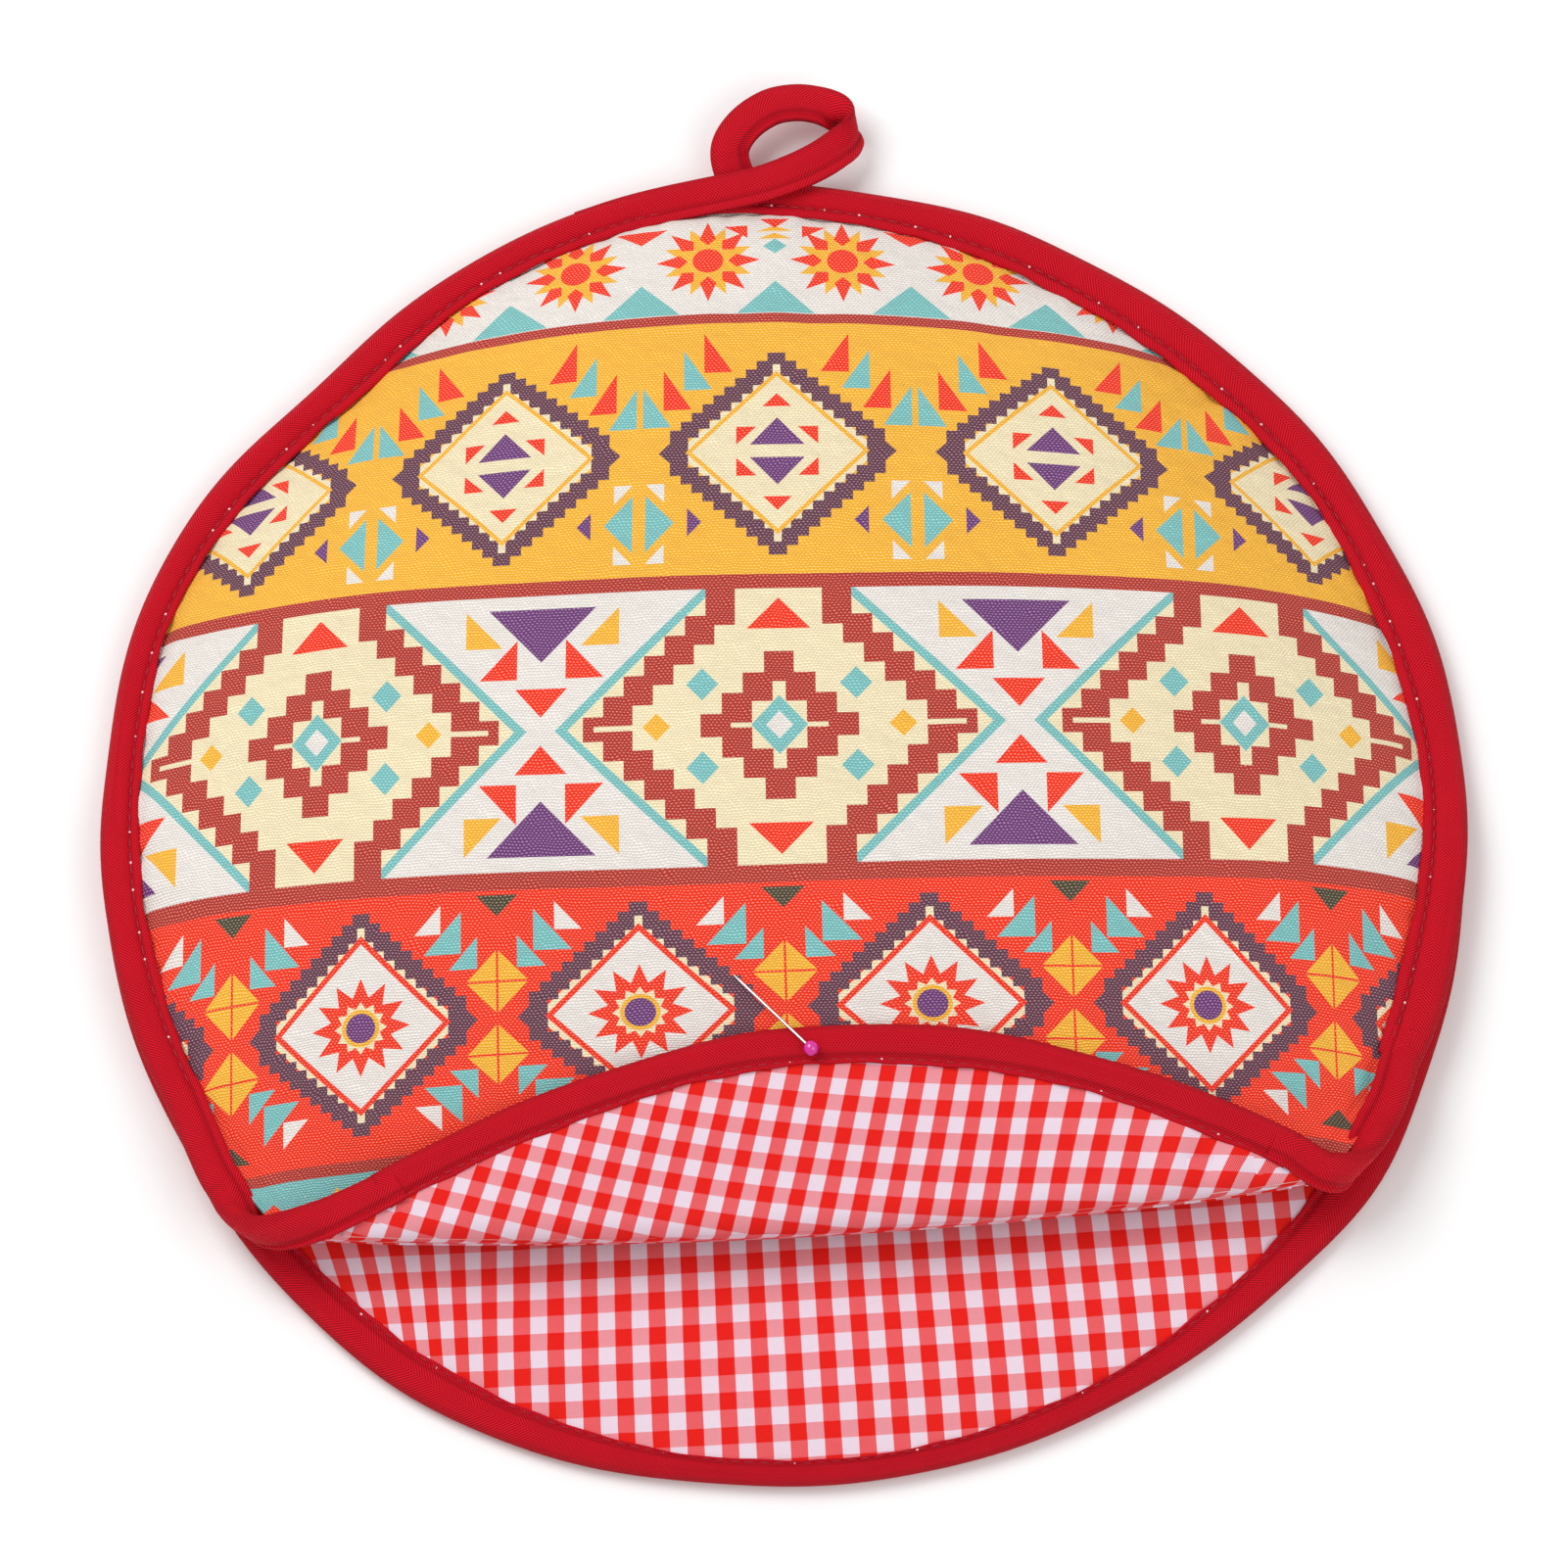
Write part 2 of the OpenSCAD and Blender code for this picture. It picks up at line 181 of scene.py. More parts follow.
def cloth_grid(name, layer, material, thickness, flip=False, round_cols=False):
    """A sheet of cloth from rows of points, with the place of each point on the flat cloth."""
    points, cloth = layer
    rows, cols = points.shape[:2]
    faces = grid_faces(rows, cols, round_cols, flip)
    obj = mesh_object(name, points.reshape(-1, 3), faces, cloth=cloth)
    adjust(obj.modifiers.new("thickness", "SOLIDIFY"), thickness=thickness * MM, offset=-1)
    return dress(obj, material)


def pad(name, upper, lower, cloth):
    """A closed pad between two grids of points, the upper one facing up."""
    rows, cols = upper.shape[:2]
    n = rows * cols
    sides = grid_faces(rows, cols, flip=True) + grid_faces(rows, cols, first=n)
    edge = np.concatenate([
        np.arange(cols - 1), np.arange(rows - 1) * cols + cols - 1,
        (rows - 1) * cols + np.arange(cols - 1, 0, -1), np.arange(rows - 1, 0, -1) * cols,
    ])
    after = np.roll(edge, -1)
    rim = np.stack([edge, after, after + n, edge + n], -1).tolist()
    points = np.concatenate([upper.reshape(-1, 3), lower.reshape(-1, 3)])
    places = np.concatenate([cloth.reshape(-1, 2)] * 2)
    return dress(mesh_object(name, points, sides + rim, cloth=places), WADDING)


# ---------- the round's edge ----------

# places where the round isn't true: the angle and half width of each, in degrees, and how far the
# binding's outer and inner edges stand out there
RIM_PLACES = (
    (134, 13, -4.3, -5.0), (54, 23, -2.0, -4.4), (20, 13, 0, -2.0), (-12, 12, 0.5, -2.0),
    (98, 10, 1.2, 2.0), (162, 10, 0.3, 1.5),
)
MOUTH_PLACES = RIM_PLACES + ((-123, 18, 3.3, 0), (-33, 11, 3.7, 0), (-90, 60, 0, 3.4))
TRUE_R = 95  # no nearer the middle does the cloth move with its edge


def settled(points, places):
    """Points of the round, moved with its edges where those aren't true."""
    r = np.hypot(points[..., 0], points[..., 1])
    angle = np.degrees(np.arctan2(points[..., 1], points[..., 0]))
    outer, inner = np.zeros_like(r), np.zeros_like(r)
    for at, half, outer_out, inner_out in places:
        near = np.exp(-((((angle - at + 180) % 360 - 180) / half) ** 2))
        outer += outer_out * near
        inner += inner_out * near
    in_cloth = inner * smooth((r - TRUE_R) / (INNER_R - TRUE_R))
    shift = np.where(r < INNER_R, in_cloth, mix(inner, outer, (r - INNER_R) / BINDING_W))
    moved = np.array(points, float)
    moved[..., :2] *= (1 + shift / np.maximum(r, 1))[..., None]
    return moved


# ---------- the front panel's surface ----------


def crown(r):
    return CROWN_H * np.maximum(0, 1 - (np.minimum(r, INNER_R) / INNER_R) ** 2) ** CROWN_POWER


def row_of(x, y):
    """How far a point of the edge is from the mouth's hinge line, 0, to the crease, 1."""
    v = np.clip((-y - HINGE_D) / (CREASE_D - HINGE_D), 0, 1)
    for _ in range(12):
        _, turned_y = spin(x, y, -CREASE_TILT * v)
        d = mix(HINGE_D, CREASE_D, v)
        v = np.clip(v + 0.8 * (-turned_y - d) / (CREASE_D - HINGE_D), 0, 1)
    return v


def front_height(x, y, v):
    """Height of the front panel's printed face, eased from the crown down to the crease."""
    r = np.hypot(x, y)
    mouth_side = smooth((26 - y) / 34)
    edge_lift = (FLAP_Z + 1.3 - FRONT_EDGE_Z) * np.minimum(1, r / INNER_R) ** 8 * mouth_side
    return mix(FRONT_EDGE_Z + crown(r) + edge_lift, CREASE_Z - PRINT_GAP, v * v)


def pucker(x, y):
    """How far the cloth stands up in little gathers beside the binding."""
    inset = np.maximum(0, INNER_R - np.hypot(x, y))
    angle = np.arctan2(y, x)
    small = 0.42 * ripple(angle, (131, 97, 163, 71), 3) * np.exp(-inset / 3.6)
    large = 0.5 * ripple(angle, (37, 23, 53), 4) * np.exp(-inset / 9)
    return (0.75 + 0.35 * ripple(angle, (3, 5, 7), 5)) * (small + large)


def cloth_place(x, y):
    """Where a point of the front panel is on the flat cloth, which is cut and drawn a little askew,
    so that the print's lines run as they do in the photo."""
    a, b = x / 100, y / 100
    u = x + 0.5 - 4.4 * a + 1.7 * b + 2.4 * a * b - 1.2 * b**2
    u = u + 3.8 * a**3 - 0.9 * a**2 * b + 0.8 * a * b**2 + 0.5 * b**3
    v = y + 2.1 - 2.7 * a - 2.8 * b - 2.4 * a**2 + 1.2 * a * b - 3.8 * b**2
    v = v + 0.3 * a**3 + 0.7 * a**2 * b + 0.4 * a * b**2 + 8.6 * b**3
    v = v + 1.3 * a**4 + 8.2 * a**2 * b**2 - 2.8 * b**4
    v = v - 3.0 * np.exp(-((x - 119) ** 2 + (y + 76) ** 2) / 16**2)
    return np.stack([u + 0.3 * swell(x, y, 90, 21), v + 0.3 * swell(x, y, 80, 22)], -1)


def front_rows():
    """Plan positions and crease share of the panel's points, row by row from the back. The cloth
    goes in under the tape, and further in near the lip's corners, where the tape turns away."""
    angles = np.linspace(math.pi / 2, -math.asin(HINGE_D / CUT_R), 150)
    back = [(CUT_R * math.sin(a), CUT_R * math.cos(a), 0.0) for a in angles]
    front = []
    for v in np.linspace(0, 0.992, 78)[1:]:
        d = mix(HINGE_D, CREASE_D, v)
        reach = INNER_R + mix(TUCK, 4.0, smooth((d - 40) / 30))
        front.append((-d, math.sqrt(reach**2 - d * d), v))
    across = np.linspace(-1, 1, 190)
    across = 0.45 * across + 0.55 * np.sin(across * math.pi / 2)
    y, half, v = (np.array(column)[:, None] for column in zip(*back, *front))
    x = across * np.maximum(half, 0.02)
    bow = CREASE_BOW * v * v * (1 - across**2 * (half / np.sqrt(FLANGE_R**2 - y * y)) ** 2)
    return *spin(x, y - bow, CREASE_TILT * v), v + 0 * x


PUFF_FROM, PUFF_STEP = 9, 3  # first row of the stuffed cloth, and its share of rows and columns
PUFF_CAP = 1.3
PUFF_CLOTH = dict(
    quality=6, mass=0.15, tension_stiffness=12, compression_stiffness=12, bending_stiffness=0.3,
    shrink_min=-0.006, use_pressure=True, uniform_pressure_force=0.6, vertex_group_mass="held",
)


def stuffed(points):
    """How far each point of the panel's rows moves up or down when its cloth, cut a little full,
    is pressed up by the wadding: a cloth simulation on some of the points, held at its edges."""
    rise = np.zeros(points.shape[:2])
    coarse = points[PUFF_FROM::PUFF_STEP, ::PUFF_STEP]
    rows, cols = coarse.shape[:2]
    flat = coarse.reshape(-1, 3)
    trial = mesh_object("stuffed_trial", flat, grid_faces(rows, cols, flip=True))
    edge = np.ones((rows, cols), bool)
    edge[1:-1, 1:-1] = False
    trial.vertex_groups.new(name="held").add(np.flatnonzero(edge).tolist(), 1.0, "REPLACE")
    cloth = trial.modifiers.new("stuffed", "CLOTH")
    adjust(cloth.settings, **PUFF_CLOTH).effector_weights.gravity = 0
    cloth.collision_settings.use_collision = False
    for frame_number in range(1, 19):
        bpy.context.scene.frame_set(frame_number)
    pressed = trial.evaluated_get(bpy.context.evaluated_depsgraph_get()).data
    after = np.empty(len(flat) * 3, np.float32)
    pressed.vertices.foreach_get("co", after)
    bpy.context.scene.frame_set(1)
    bpy.data.meshes.remove(trial.data)  # and the trial with it
    move = (after.reshape(-1, 3)[:, 2] / MM - flat[:, 2]).reshape(rows, cols)
    move -= np.median(move) * ~edge
    move = PUFF_CAP * np.tanh(move / PUFF_CAP)
    row_at = (np.arange(points.shape[0]) - PUFF_FROM) / PUFF_STEP
    col_at = np.arange(points.shape[1]) / PUFF_STEP
    finer = np.array([np.interp(col_at, np.arange(cols), row) for row in move])
    rise = np.array([np.interp(row_at, np.arange(rows), col) for col in finer.T]).T
    return rise * (row_at[:, None] >= 0)


def front_layer(depth_in, depth_at_edge, ripple_share=1.0):
    """The front panel's surface that far below its printed face, and its flat-cloth places. The
    depth eases to nothing at the crease."""
    x, y, v = front_rows()
    inset = INNER_R - np.hypot(x, y)
    depth = mix(depth_at_edge, depth_in, np.clip(inset / DRAW_IN, 0, 1))
    away = np.minimum(1, (1 - v) * (CREASE_D - HINGE_D) / STACK)
    depth = depth * np.sqrt(np.maximum(0.0004, 1 - (1 - away) ** 2))
    uneven = 0.7 * swell(x, y, 70, 11) * smooth(inset / 30) * (1 - v**4)
    gathers = ripple_share * pucker(x, y) * (1 - v**6) * (1 - smooth(-inset / 1.2))
    z = front_height(x, y, v) - depth + uneven + gathers - 0.12 * np.maximum(0, -inset)
    points = settled(np.stack([x, y, z], -1), RIM_PLACES)
    return points, cloth_place(points[..., 0], points[..., 1])


# ---------- the lip's surface ----------


def place_lip(points):
    """From the lip's own layout, as [along the crease, from the hinge line, up], to the row frame."""
    x, w, n = points[..., 0], points[..., 1], points[..., 2]
    y = -AXIS_D + w * math.cos(LIP_SLOPE) - n * math.sin(LIP_SLOPE)
    z = CREASE_Z + w * math.sin(LIP_SLOPE) + n * math.cos(LIP_SLOPE)
    px, py = spin(x, y, CREASE_TILT)
    return np.stack([px, py, z], -1)


CREASE_RISE = 6  # how far the crease's ends lie behind the lip's hinge line


def lip_start(x):
    """Where the crease is, behind the lip's straight hinge line."""
    return 0.15 + CREASE_RISE * (x / CREASE_HALF) ** 2


def lip_end(x, inset):
    """How far the lip reaches from the hinge line. Its two sides hang a little short of the arc."""
    short = 2.7 * smooth((-x - 5) / 55) + 1.6 * smooth((x - 45) / 50)
    return np.sqrt((LIP_R - inset) ** 2 - (x - LIP_SHIFT) ** 2) - LIP_R + LIP_LENGTH - short


def lip_layer(height_in, height_at_edge, rounded=True, rows=46, cols=190):
    """The lip's surface that far above its printed face, and its flat-cloth places. The lining and
    the wadding are rounded at the fold. The print is flat, and starts a little further in."""
    across = np.linspace(-1, 1, cols)
    reach = math.sqrt((LIP_R - BINDING_W) ** 2 - (LIP_R - LIP_LENGTH + 7) ** 2)
    x = LIP_SHIFT + (0.55 * across + 0.45 * np.sin(across * math.pi / 2)) * reach
    q = np.linspace(0, 1, rows)[:, None]
    q = 0.35 * q + 0.65 * (1 - np.cos(q * math.pi)) / 2
    in_from_crease = 0.6 if rounded else 2.4
    start = lip_start(x) + in_from_crease
    end = np.maximum(start + 0.4, lip_end(x, BINDING_W - 2.0))
    w = mix(start, end, q)
    x = np.broadcast_to(x, w.shape)
    inset = np.maximum(0, LIP_R - np.hypot(x - LIP_SHIFT, w + LIP_R - LIP_LENGTH) - BINDING_W)
    draw = np.clip(inset / DRAW_IN, 0, 1)
    height, n = mix(height_at_edge, height_in, draw), mix(1.5, PRINT_GAP, draw)
    from_fold = (w - start) + (math.pi / 2 - 1) * STACK
    if rounded:
        away = np.minimum(1, (w - start + in_from_crease) / STACK)
        gathers = 0.2 * ripple(x / 40, (7, 11, 17, 23), 31) * np.exp(-inset / 3)
        at_right = np.exp(-(((x - 90) / 14) ** 2)) * smooth(inset / 5)
        waves = 0.9 * np.sin((x - 0.35 * w) / 2.3) * at_right
        n = n + height * np.sqrt(np.maximum(0, 1 - (1 - away) ** 2)) + (gathers + waves)
        return place_lip(np.stack([x, w, n], -1)), lining_place(x, from_fold)
    points = place_lip(np.stack([x, w, n + height], -1))
    crease = cloth_place(points[:1, :, 0], points[:1, :, 1])  # the print runs on from the flap's
    return points, crease - from_fold[..., None] * (0, 1)


# how far the lining's checks lean over to the right on the lip and how far their rows fall
# towards the right, in degrees, at places along the crease
LEAN_X, LEAN = (-100, -20, 50, 75, 90, 105), (25, 18, 13, 17, 24, 36)
FALL_X, FALL = (-100, -50, 0, 50, 90), (13, 13, 8.5, 5.5, 10)


def lining_place(x, from_fold):
    """Where a point of the lip's lining is on the flat gingham."""
    lean = np.tan(np.radians(np.interp(x, LEAN_X, LEAN)))
    along = np.arange(-130.0, 131.0)
    fallen = np.cumsum(np.tan(np.radians(np.interp(along, FALL_X, FALL))))
    return np.stack([x - from_fold * lean, from_fold + np.interp(x, along, fallen)], -1)


FOLD_FROM, FOLD_TO = -111, 114  # the ends of the lining's roll round the fold
FOLD_TILT = math.radians(10)
FOLD_T = 0.2


def fold_roll(rows=17, cols=230):
    """The lining where it goes round the fold, from under the flap up to the lip. No row is close to
    the fold's nose."""
    x = np.linspace(FOLD_FROM, FOLD_TO, cols)[None]
    side = np.radians(np.linspace(15, 112, rows))
    phi = np.concatenate([-side[::-1], side])[:, None]
    bend = np.clip(phi, -math.pi / 2, math.pi / 2)
    past = np.abs(phi) - np.abs(bend)
    narrow = 1 - 0.45 * smooth((np.abs(x - 2) - 98) / 16)
    radius = (STACK + 0.12) * narrow + 0.25 * ripple(x / 40, (9, 14, 22), 71)
    crumple = 0.9 * np.exp(-(((x - 96) / 14) ** 2)) * np.sin((x - 70) / 3.2 + bend * 1.5)
    radius = radius + 0.35 * crumple
    back = radius * (1 - np.cos(bend)) + past * 7
    up = radius * np.sin(bend)
    tip = -(CREASE_D + CREASE_RISE * (1 - (x / CREASE_HALF) ** 2)) + 0.1
    y = tip + back * math.cos(FOLD_TILT) - up * math.sin(FOLD_TILT)
    z = CREASE_Z + back * math.sin(FOLD_TILT) + up * math.cos(FOLD_TILT)
    x = x + 0 * y
    cloth = lining_place(x, STACK * (bend + np.sign(bend) * past))
    return np.stack([*spin(x, y, CREASE_TILT), z], -1), cloth


# ---------- materials ----------


def colour(hexa):
    """A colour as the shader takes it, from its value in the picture."""
    channels = [int(hexa[i : i + 2], 16) / 255 for i in (1, 3, 5)]
    linear = [c / 12.92 if c <= 0.04045 else ((c + 0.055) / 1.055) ** 2.4 for c in channels]
    return (*linear, 1.0)


def node_op(operation):
    return lambda number, *others: number.maker.math(operation, number, *others)


class Num:
    """A number that varies over a surface, as the output of a node. Arithmetic makes nodes, & and |
    join masks of 0 and 1."""

    def __init__(self, maker, socket):
        self.maker, self.socket = maker, socket

    __add__, __sub__ = node_op("ADD"), node_op("SUBTRACT")
    __mul__, __truediv__ = node_op("MULTIPLY"), node_op("DIVIDE")
    __lt__, __gt__ = node_op("LESS_THAN"), node_op("GREATER_THAN")
    __and__, __or__, __abs__ = node_op("MULTIPLY"), node_op("MAXIMUM"), node_op("ABSOLUTE")

    def __rsub__(self, other):
        return self.maker.math("SUBTRACT", other, self)

    def op(self, operation, *others):
        return self.maker.math(operation, self, *others)

    def wave(self, length):
        """Up and down between -1 and 1, once in that length."""
        return (self * (2 * math.pi / length)).op("SINE")

    def away(self, period, centre=0.0):
        """Distance from the nearest of a row of centres that far apart."""
        return (self - centre).op("PINGPONG", period / 2)


class Finish:
    """A material made of nodes."""

    def __init__(self, name, roughness, specular, **looks):
        self.material = bpy.data.materials.new(name)
        self.material.use_nodes = True
        self.tree = self.material.node_tree
        self.shader = self.tree.nodes["Principled BSDF"]
        looks |= {"Roughness": roughness, "Specular_IOR_Level": specular}
        self.feed(self.shader, {key.replace("_", " "): looks[key] for key in looks})

    def feed(self, node, values):
        """Puts numbers, colours or other nodes' outputs into a node's inputs."""
        for key, value in values.items():
            if isinstance(value, Num):
                value = value.socket
            if isinstance(value, bpy.types.NodeSocket):
                self.tree.links.new(value, node.inputs[key])
            else:
                node.inputs[key].default_value = value

    def node(self, kind, values, **settings):
        """The outputs of a new node with those inputs and settings."""
        node = adjust(self.tree.nodes.new("ShaderNode" + kind), **settings)
        self.feed(node, values)
        return node.outputs

    def math(self, operation, *values):
        return Num(self, self.node("Math", dict(enumerate(values)), operation=operation)[0])

    def split(self, vector):
        return [Num(self, part) for part in self.node("SeparateXYZ", {0: vector})]

    def field(self, name):
        """The three numbers that the mesh holds at each point under that name."""
        return self.split(self.node("Attribute", {}, attribute_name=name)["Vector"])

    def noise(self, x, y, size, detail=2.0):
        """Uneven values about 0.5, with hills that many millimetres apart."""
        place = self.node("CombineXYZ", {0: x, 1: y})[0]
        hills = {"Vector": place, "Scale": 1 / size, "Detail": detail}
        return Num(self, self.node("TexNoise", hills)["Fac"])

    def paint(self, under, mask, over):
        """over where mask is 1, and under where it is 0."""
        return self.node("Mix", {0: mask, 6: under, 7: over}, data_type="RGBA")[2]

    def shade(self, base, amount):
        """The colour times a number."""
        grey = self.node("CombineColor", {0: amount, 1: amount, 2: amount})[0]
        mixed = {0: 1.0, 6: base, 7: grey}
        return self.node("Mix", mixed, data_type="RGBA", blend_type="MULTIPLY")[2]

    def finish(self, base, height, distance):
        """Sets the colour, and the relief in millimetres."""
        relief = {"Height": height, "Distance": distance * MM, "Strength": 1.0}
        bump = self.node("Bump", relief)[0]
        self.feed(self.shader, {"Base Color": base, "Normal": bump})
        return self.material


# shapes of the print, each 1 inside and 0 outside


def box(a, b, far_a, far_b, near_a=-1, near_b=-1):
    return (a > near_a) & (a < far_a) & (b > near_b) & (b < far_b)


def diamond(a, b, half_w, half_h):
    return (abs(a) / half_w + abs(b) / half_h) < 1


def corner(a, b, at_a, at_b, width, height):
    """A right triangle with its right angle at that point, reaching that far along a and b."""
    p, q = (a - at_a) / width, (b - at_b) / height
    return (p > 0) & (q > 0) & ((p + q) < 1)


def spike(a, b, half_w, base, tip):
    """A triangle about a = 0 with its base and its tip at those values of b."""
    q = (b - base) / (tip - base)
    return (q > 0) & ((abs(a) / half_w + q) < 1)


def stairs(a, b, step_a, step_b, half_a, half_b, top, last):
    """A flight of blocks that comes down from (0, top) to the side. last is its last block."""
    level = ((top - b) / step_b).op("FLOOR")
    masks = []
    for extra in (0, 1):
        i = (level + extra).op("MAXIMUM", 0).op("MINIMUM", last)
        masks.append((abs(a - i * step_a) < half_a) & (abs(b - top + i * step_b) < half_b))
    return masks[0] | masks[1]


def from_middle(a, b):
    return (a * a + b * b).op("SQRT")


def ray(a, b, count, turned=0.0):
    """Along and across the nearest of that many rays out of a motif's middle."""
    r, angle = from_middle(a, b), b.op("ARCTAN2", a).away(2 * math.pi / count, turned)
    return r * angle.op("COSINE"), r * angle.op("SINE")


def star(a, b, points, outer, inner):
    """A star of that many points, one of them along b = 0."""
    x, y = ray(a, b, points)
    turn = math.pi / points
    dx, dy = inner * math.cos(turn) - outer, inner * math.sin(turn)
    return ((x - outer) * dy - y * dx) < 0


RED, YELLOW, TEAL, CREAM, PLUM = "#FF3A1C", "#FFBC34", "#7CC6C4", "#F8E9C0", "#6B4152"
BRICK, PURPLE, WHITE, OLIVE = "#BC3C2F", "#74427F", "#F0EAE3", "#524C36"

# the distance along a band from one of its motifs to the next
TEAL_PITCH, RED_PITCH, WIDE_PITCH, YELLOW_PITCH, SUN_PITCH = 30, 61.5, 103.4, 61.3, 30.5


def band_print(f, u, v):
    """The printed cloth's bands of diamonds, stars, suns and triangles, over flat-cloth places.
    Its sizes are in millimetres: a and b are distances from a motif's middle."""
    base = colour(TEAL)

    def over(mask, name):
        nonlocal base
        base = f.paint(base, mask, colour(name))

    def stepped_diamond(a, b, line):
        over((a / 22.3 + b / 22.6) < 1, CREAM)
        over(stairs(a, b, 2.43, 2.2, 2.0, 2.1, 23.45, 9), PLUM)
        over(box(a, b, 23.3, 3.2, 19.8) | spike(b, a, 3.2, 23.2, 26.4), PLUM)
        over(box(a, b, 0.85, 22.4, near_b=19), CREAM)
        over(diamond(a, b, 20.4, 20.7), line)

    # the grounds and the brick stripes between them, from the lip's end of the cloth up
    for low, name in (
        (-82.5, BRICK), (-79.5, RED), (-19.0, BRICK), (-15.0, WHITE), (48.5, BRICK),
        (51.9, YELLOW), (116.0, BRICK), (118.7, WHITE),
    ):
        over(v > low, name)

    # teal band under the lip: red diamonds and yellow ones by turns
    a, b = u.away(TEAL_PITCH, 7), abs(v + 92)
    over(diamond(a, b, 4.2, 4.4), RED)
    over(diamond(u.away(TEAL_PITCH, 22), b, 4.2, 6.5), YELLOW)
    # and a white one with purple diamonds at the cloth's end
    over(v < -101.5, BRICK)
    over(v < -105, WHITE)
    over(diamond(u.away(TEAL_PITCH, 7), v + 125, 12, 14), PURPLE)

    # red band: stepped diamonds with a star
    a, b = u.away(RED_PITCH, RED_PITCH / 2), abs(v + 48)
    stepped_diamond(a, b, RED)
    over(diamond(a, b, 18.6, 18.9), WHITE)
    over(star(a, b, 12, 11.3, 7.1), RED)
    over(star(a, b, 12, 6.0, 4.5), CREAM)
    over(from_middle(a, b) < 4.3, YELLOW)
    over(from_middle(a, b) < 3.35, PURPLE)
    # and quartered diamonds between flights of triangles
    a, b = u.away(RED_PITCH), abs(v + 48)
    over(diamond(a, b - 8.5, 6.9, 7.3) & (a > 0.25) & (abs(b - 8.5) > 0.25), YELLOW)
    over(corner(a, b, 4.4, 11.6, 6.3, 7.2) | corner(a, b, 8.0, 15.2, 8.4, 9.4), TEAL)
    over(corner(a, b, 12.6, 19.8, 5.9, 6.4), WHITE)
    over(spike(a, b, 4.6, 28.0, 23.2), OLIVE)

    # wide white band: large stepped diamonds, cream inside a teal line
    a, b = u.away(WIDE_PITCH), abs(v - 16.8)
    wide = (v > -15) & (v < 48.5)
    over(diamond(a, b, 48.6, 48.0) & wide, TEAL)
    over(diamond(a, b, 45.8, 45.3) & wide, CREAM)
    over(stairs(a - 12.6, b, 4.43, 4.53, 3.2, 3.4, 26.6, 6), BRICK)
    over(box(a, b, 15.8, 32, 9.4, 26) & wide, BRICK)
    over(box(a, b, 40, 0.6, 30), CREAM)
    cross = box(a, b, 16.9, 2.65) | box(a, b, 12.3, 7.4) | box(a, b, 7.8, 12.1)
    over(cross | box(a, b, 3.2, 17.0), BRICK)
    over(box(a, b, 5.84, 5.45) | box(a, b, 1.4, 10) | box(a, b, 10.4, 0.55), CREAM)
    over(diamond(a, b, 6.06, 6.8), TEAL)
    over(diamond(a, b, 2.9, 3.2), WHITE)
    over(diamond(a - 16.5, b - 9.5, 3.5, 3.7), TEAL)
    over(diamond(a - 26.4, b, 3.0, 3.1), YELLOW)
    over(spike(a, b, 6.9, 22.3, 29.5), RED)
    # and triangles between them
    a = u.away(WIDE_PITCH, WIDE_PITCH / 2)
    over(spike(a, b, 12.0, 28.5, 15.9), PURPLE)
    over(corner(17.1 - a, b, 0.0, 19.5, 8.4, 8.8), YELLOW)
    over(corner(a, b, 5.4, 12.0, 8.4, 9.2), RED)
    over(spike(a, b, 5.8, 9.8, 3.2), RED)

    # yellow band: stepped diamonds holding pairs of triangles
    a, b = u.away(YELLOW_PITCH), abs(v - 82.0)
    stepped_diamond(a, b, YELLOW)
    over(diamond(a, b, 19.0, 19.3), CREAM)
    over(spike(a, b, 6.1, 1.6, 8.5), PURPLE)
    over(spike(a, b, 3.2, 11.4, 14.8), RED)
    over(corner(9.1 - a, 6.2 - b, 0.0, 0.0, 4.5, 4.5) & (b > 1.0), RED)
    # and fans of triangles over a split diamond
    a, rise = u.away(YELLOW_PITCH, YELLOW_PITCH / 2), v - 82.0
    over(corner(a, rise, 0.7, 6.7, 6.3, 10.5) | corner(a, rise, 9.9, 16.2, 6.3, 10.5), TEAL)
    over(corner(a, rise, 5.3, 11.1, 6.3, 10.5) | corner(a, rise, 14.5, 20.6, 6.3, 10.5), RED)
    fall = abs(rise + 17.3)
    over(((a - 1.45) / 6.3 + fall / 6.9 < 1) & (a > 1.45), TEAL)
    over(corner(5.6 - a, 9.7 - fall, 0.0, 0.0, 4.1, 4.6) & (a > 1.45), WHITE)
    over(spike(fall, a, 3.4, 10.7, 13.9), PURPLE)

    # white band at the back: suns over teal triangles
    a, b = u.away(SUN_PITCH, SUN_PITCH / 2), v - 134.2
    out, side = ray(a, b, 8, turned=math.pi / 8)
    over(spike(side, out, 2.6, 4.2, 10.6), YELLOW)
    out, side = ray(a, b, 8)
    over((side < (out - 4.6)) & ((side / 1.9) < (11.9 - out) / 5.4), RED)
    over(from_middle(a, b) < 4.4, YELLOW)
    over(from_middle(a, b) < 3.5, RED)
    over(spike(u.away(SUN_PITCH), v, 8.8, 118.9, 127.9), TEAL)
    # and small shapes above every other gap
    a = u.away(2 * SUN_PITCH)
    over(diamond(a, v - 138.1, 2.7, 2.2), TEAL)
    over(spike(a, v, 3.8, 140.3, 142.1) | spike(a, v, 4.2, 142.6, 144.2), YELLOW)
    over(spike(a, v, 3.4, 146.6, 143.6) | corner(a, 144.6 - v, 6.2, 0.0, 5.4, 3.8), RED)
    over(spike(u.away(2 * SUN_PITCH, SUN_PITCH), v, 6.0, 144.6, 140.2), RED)
    return base


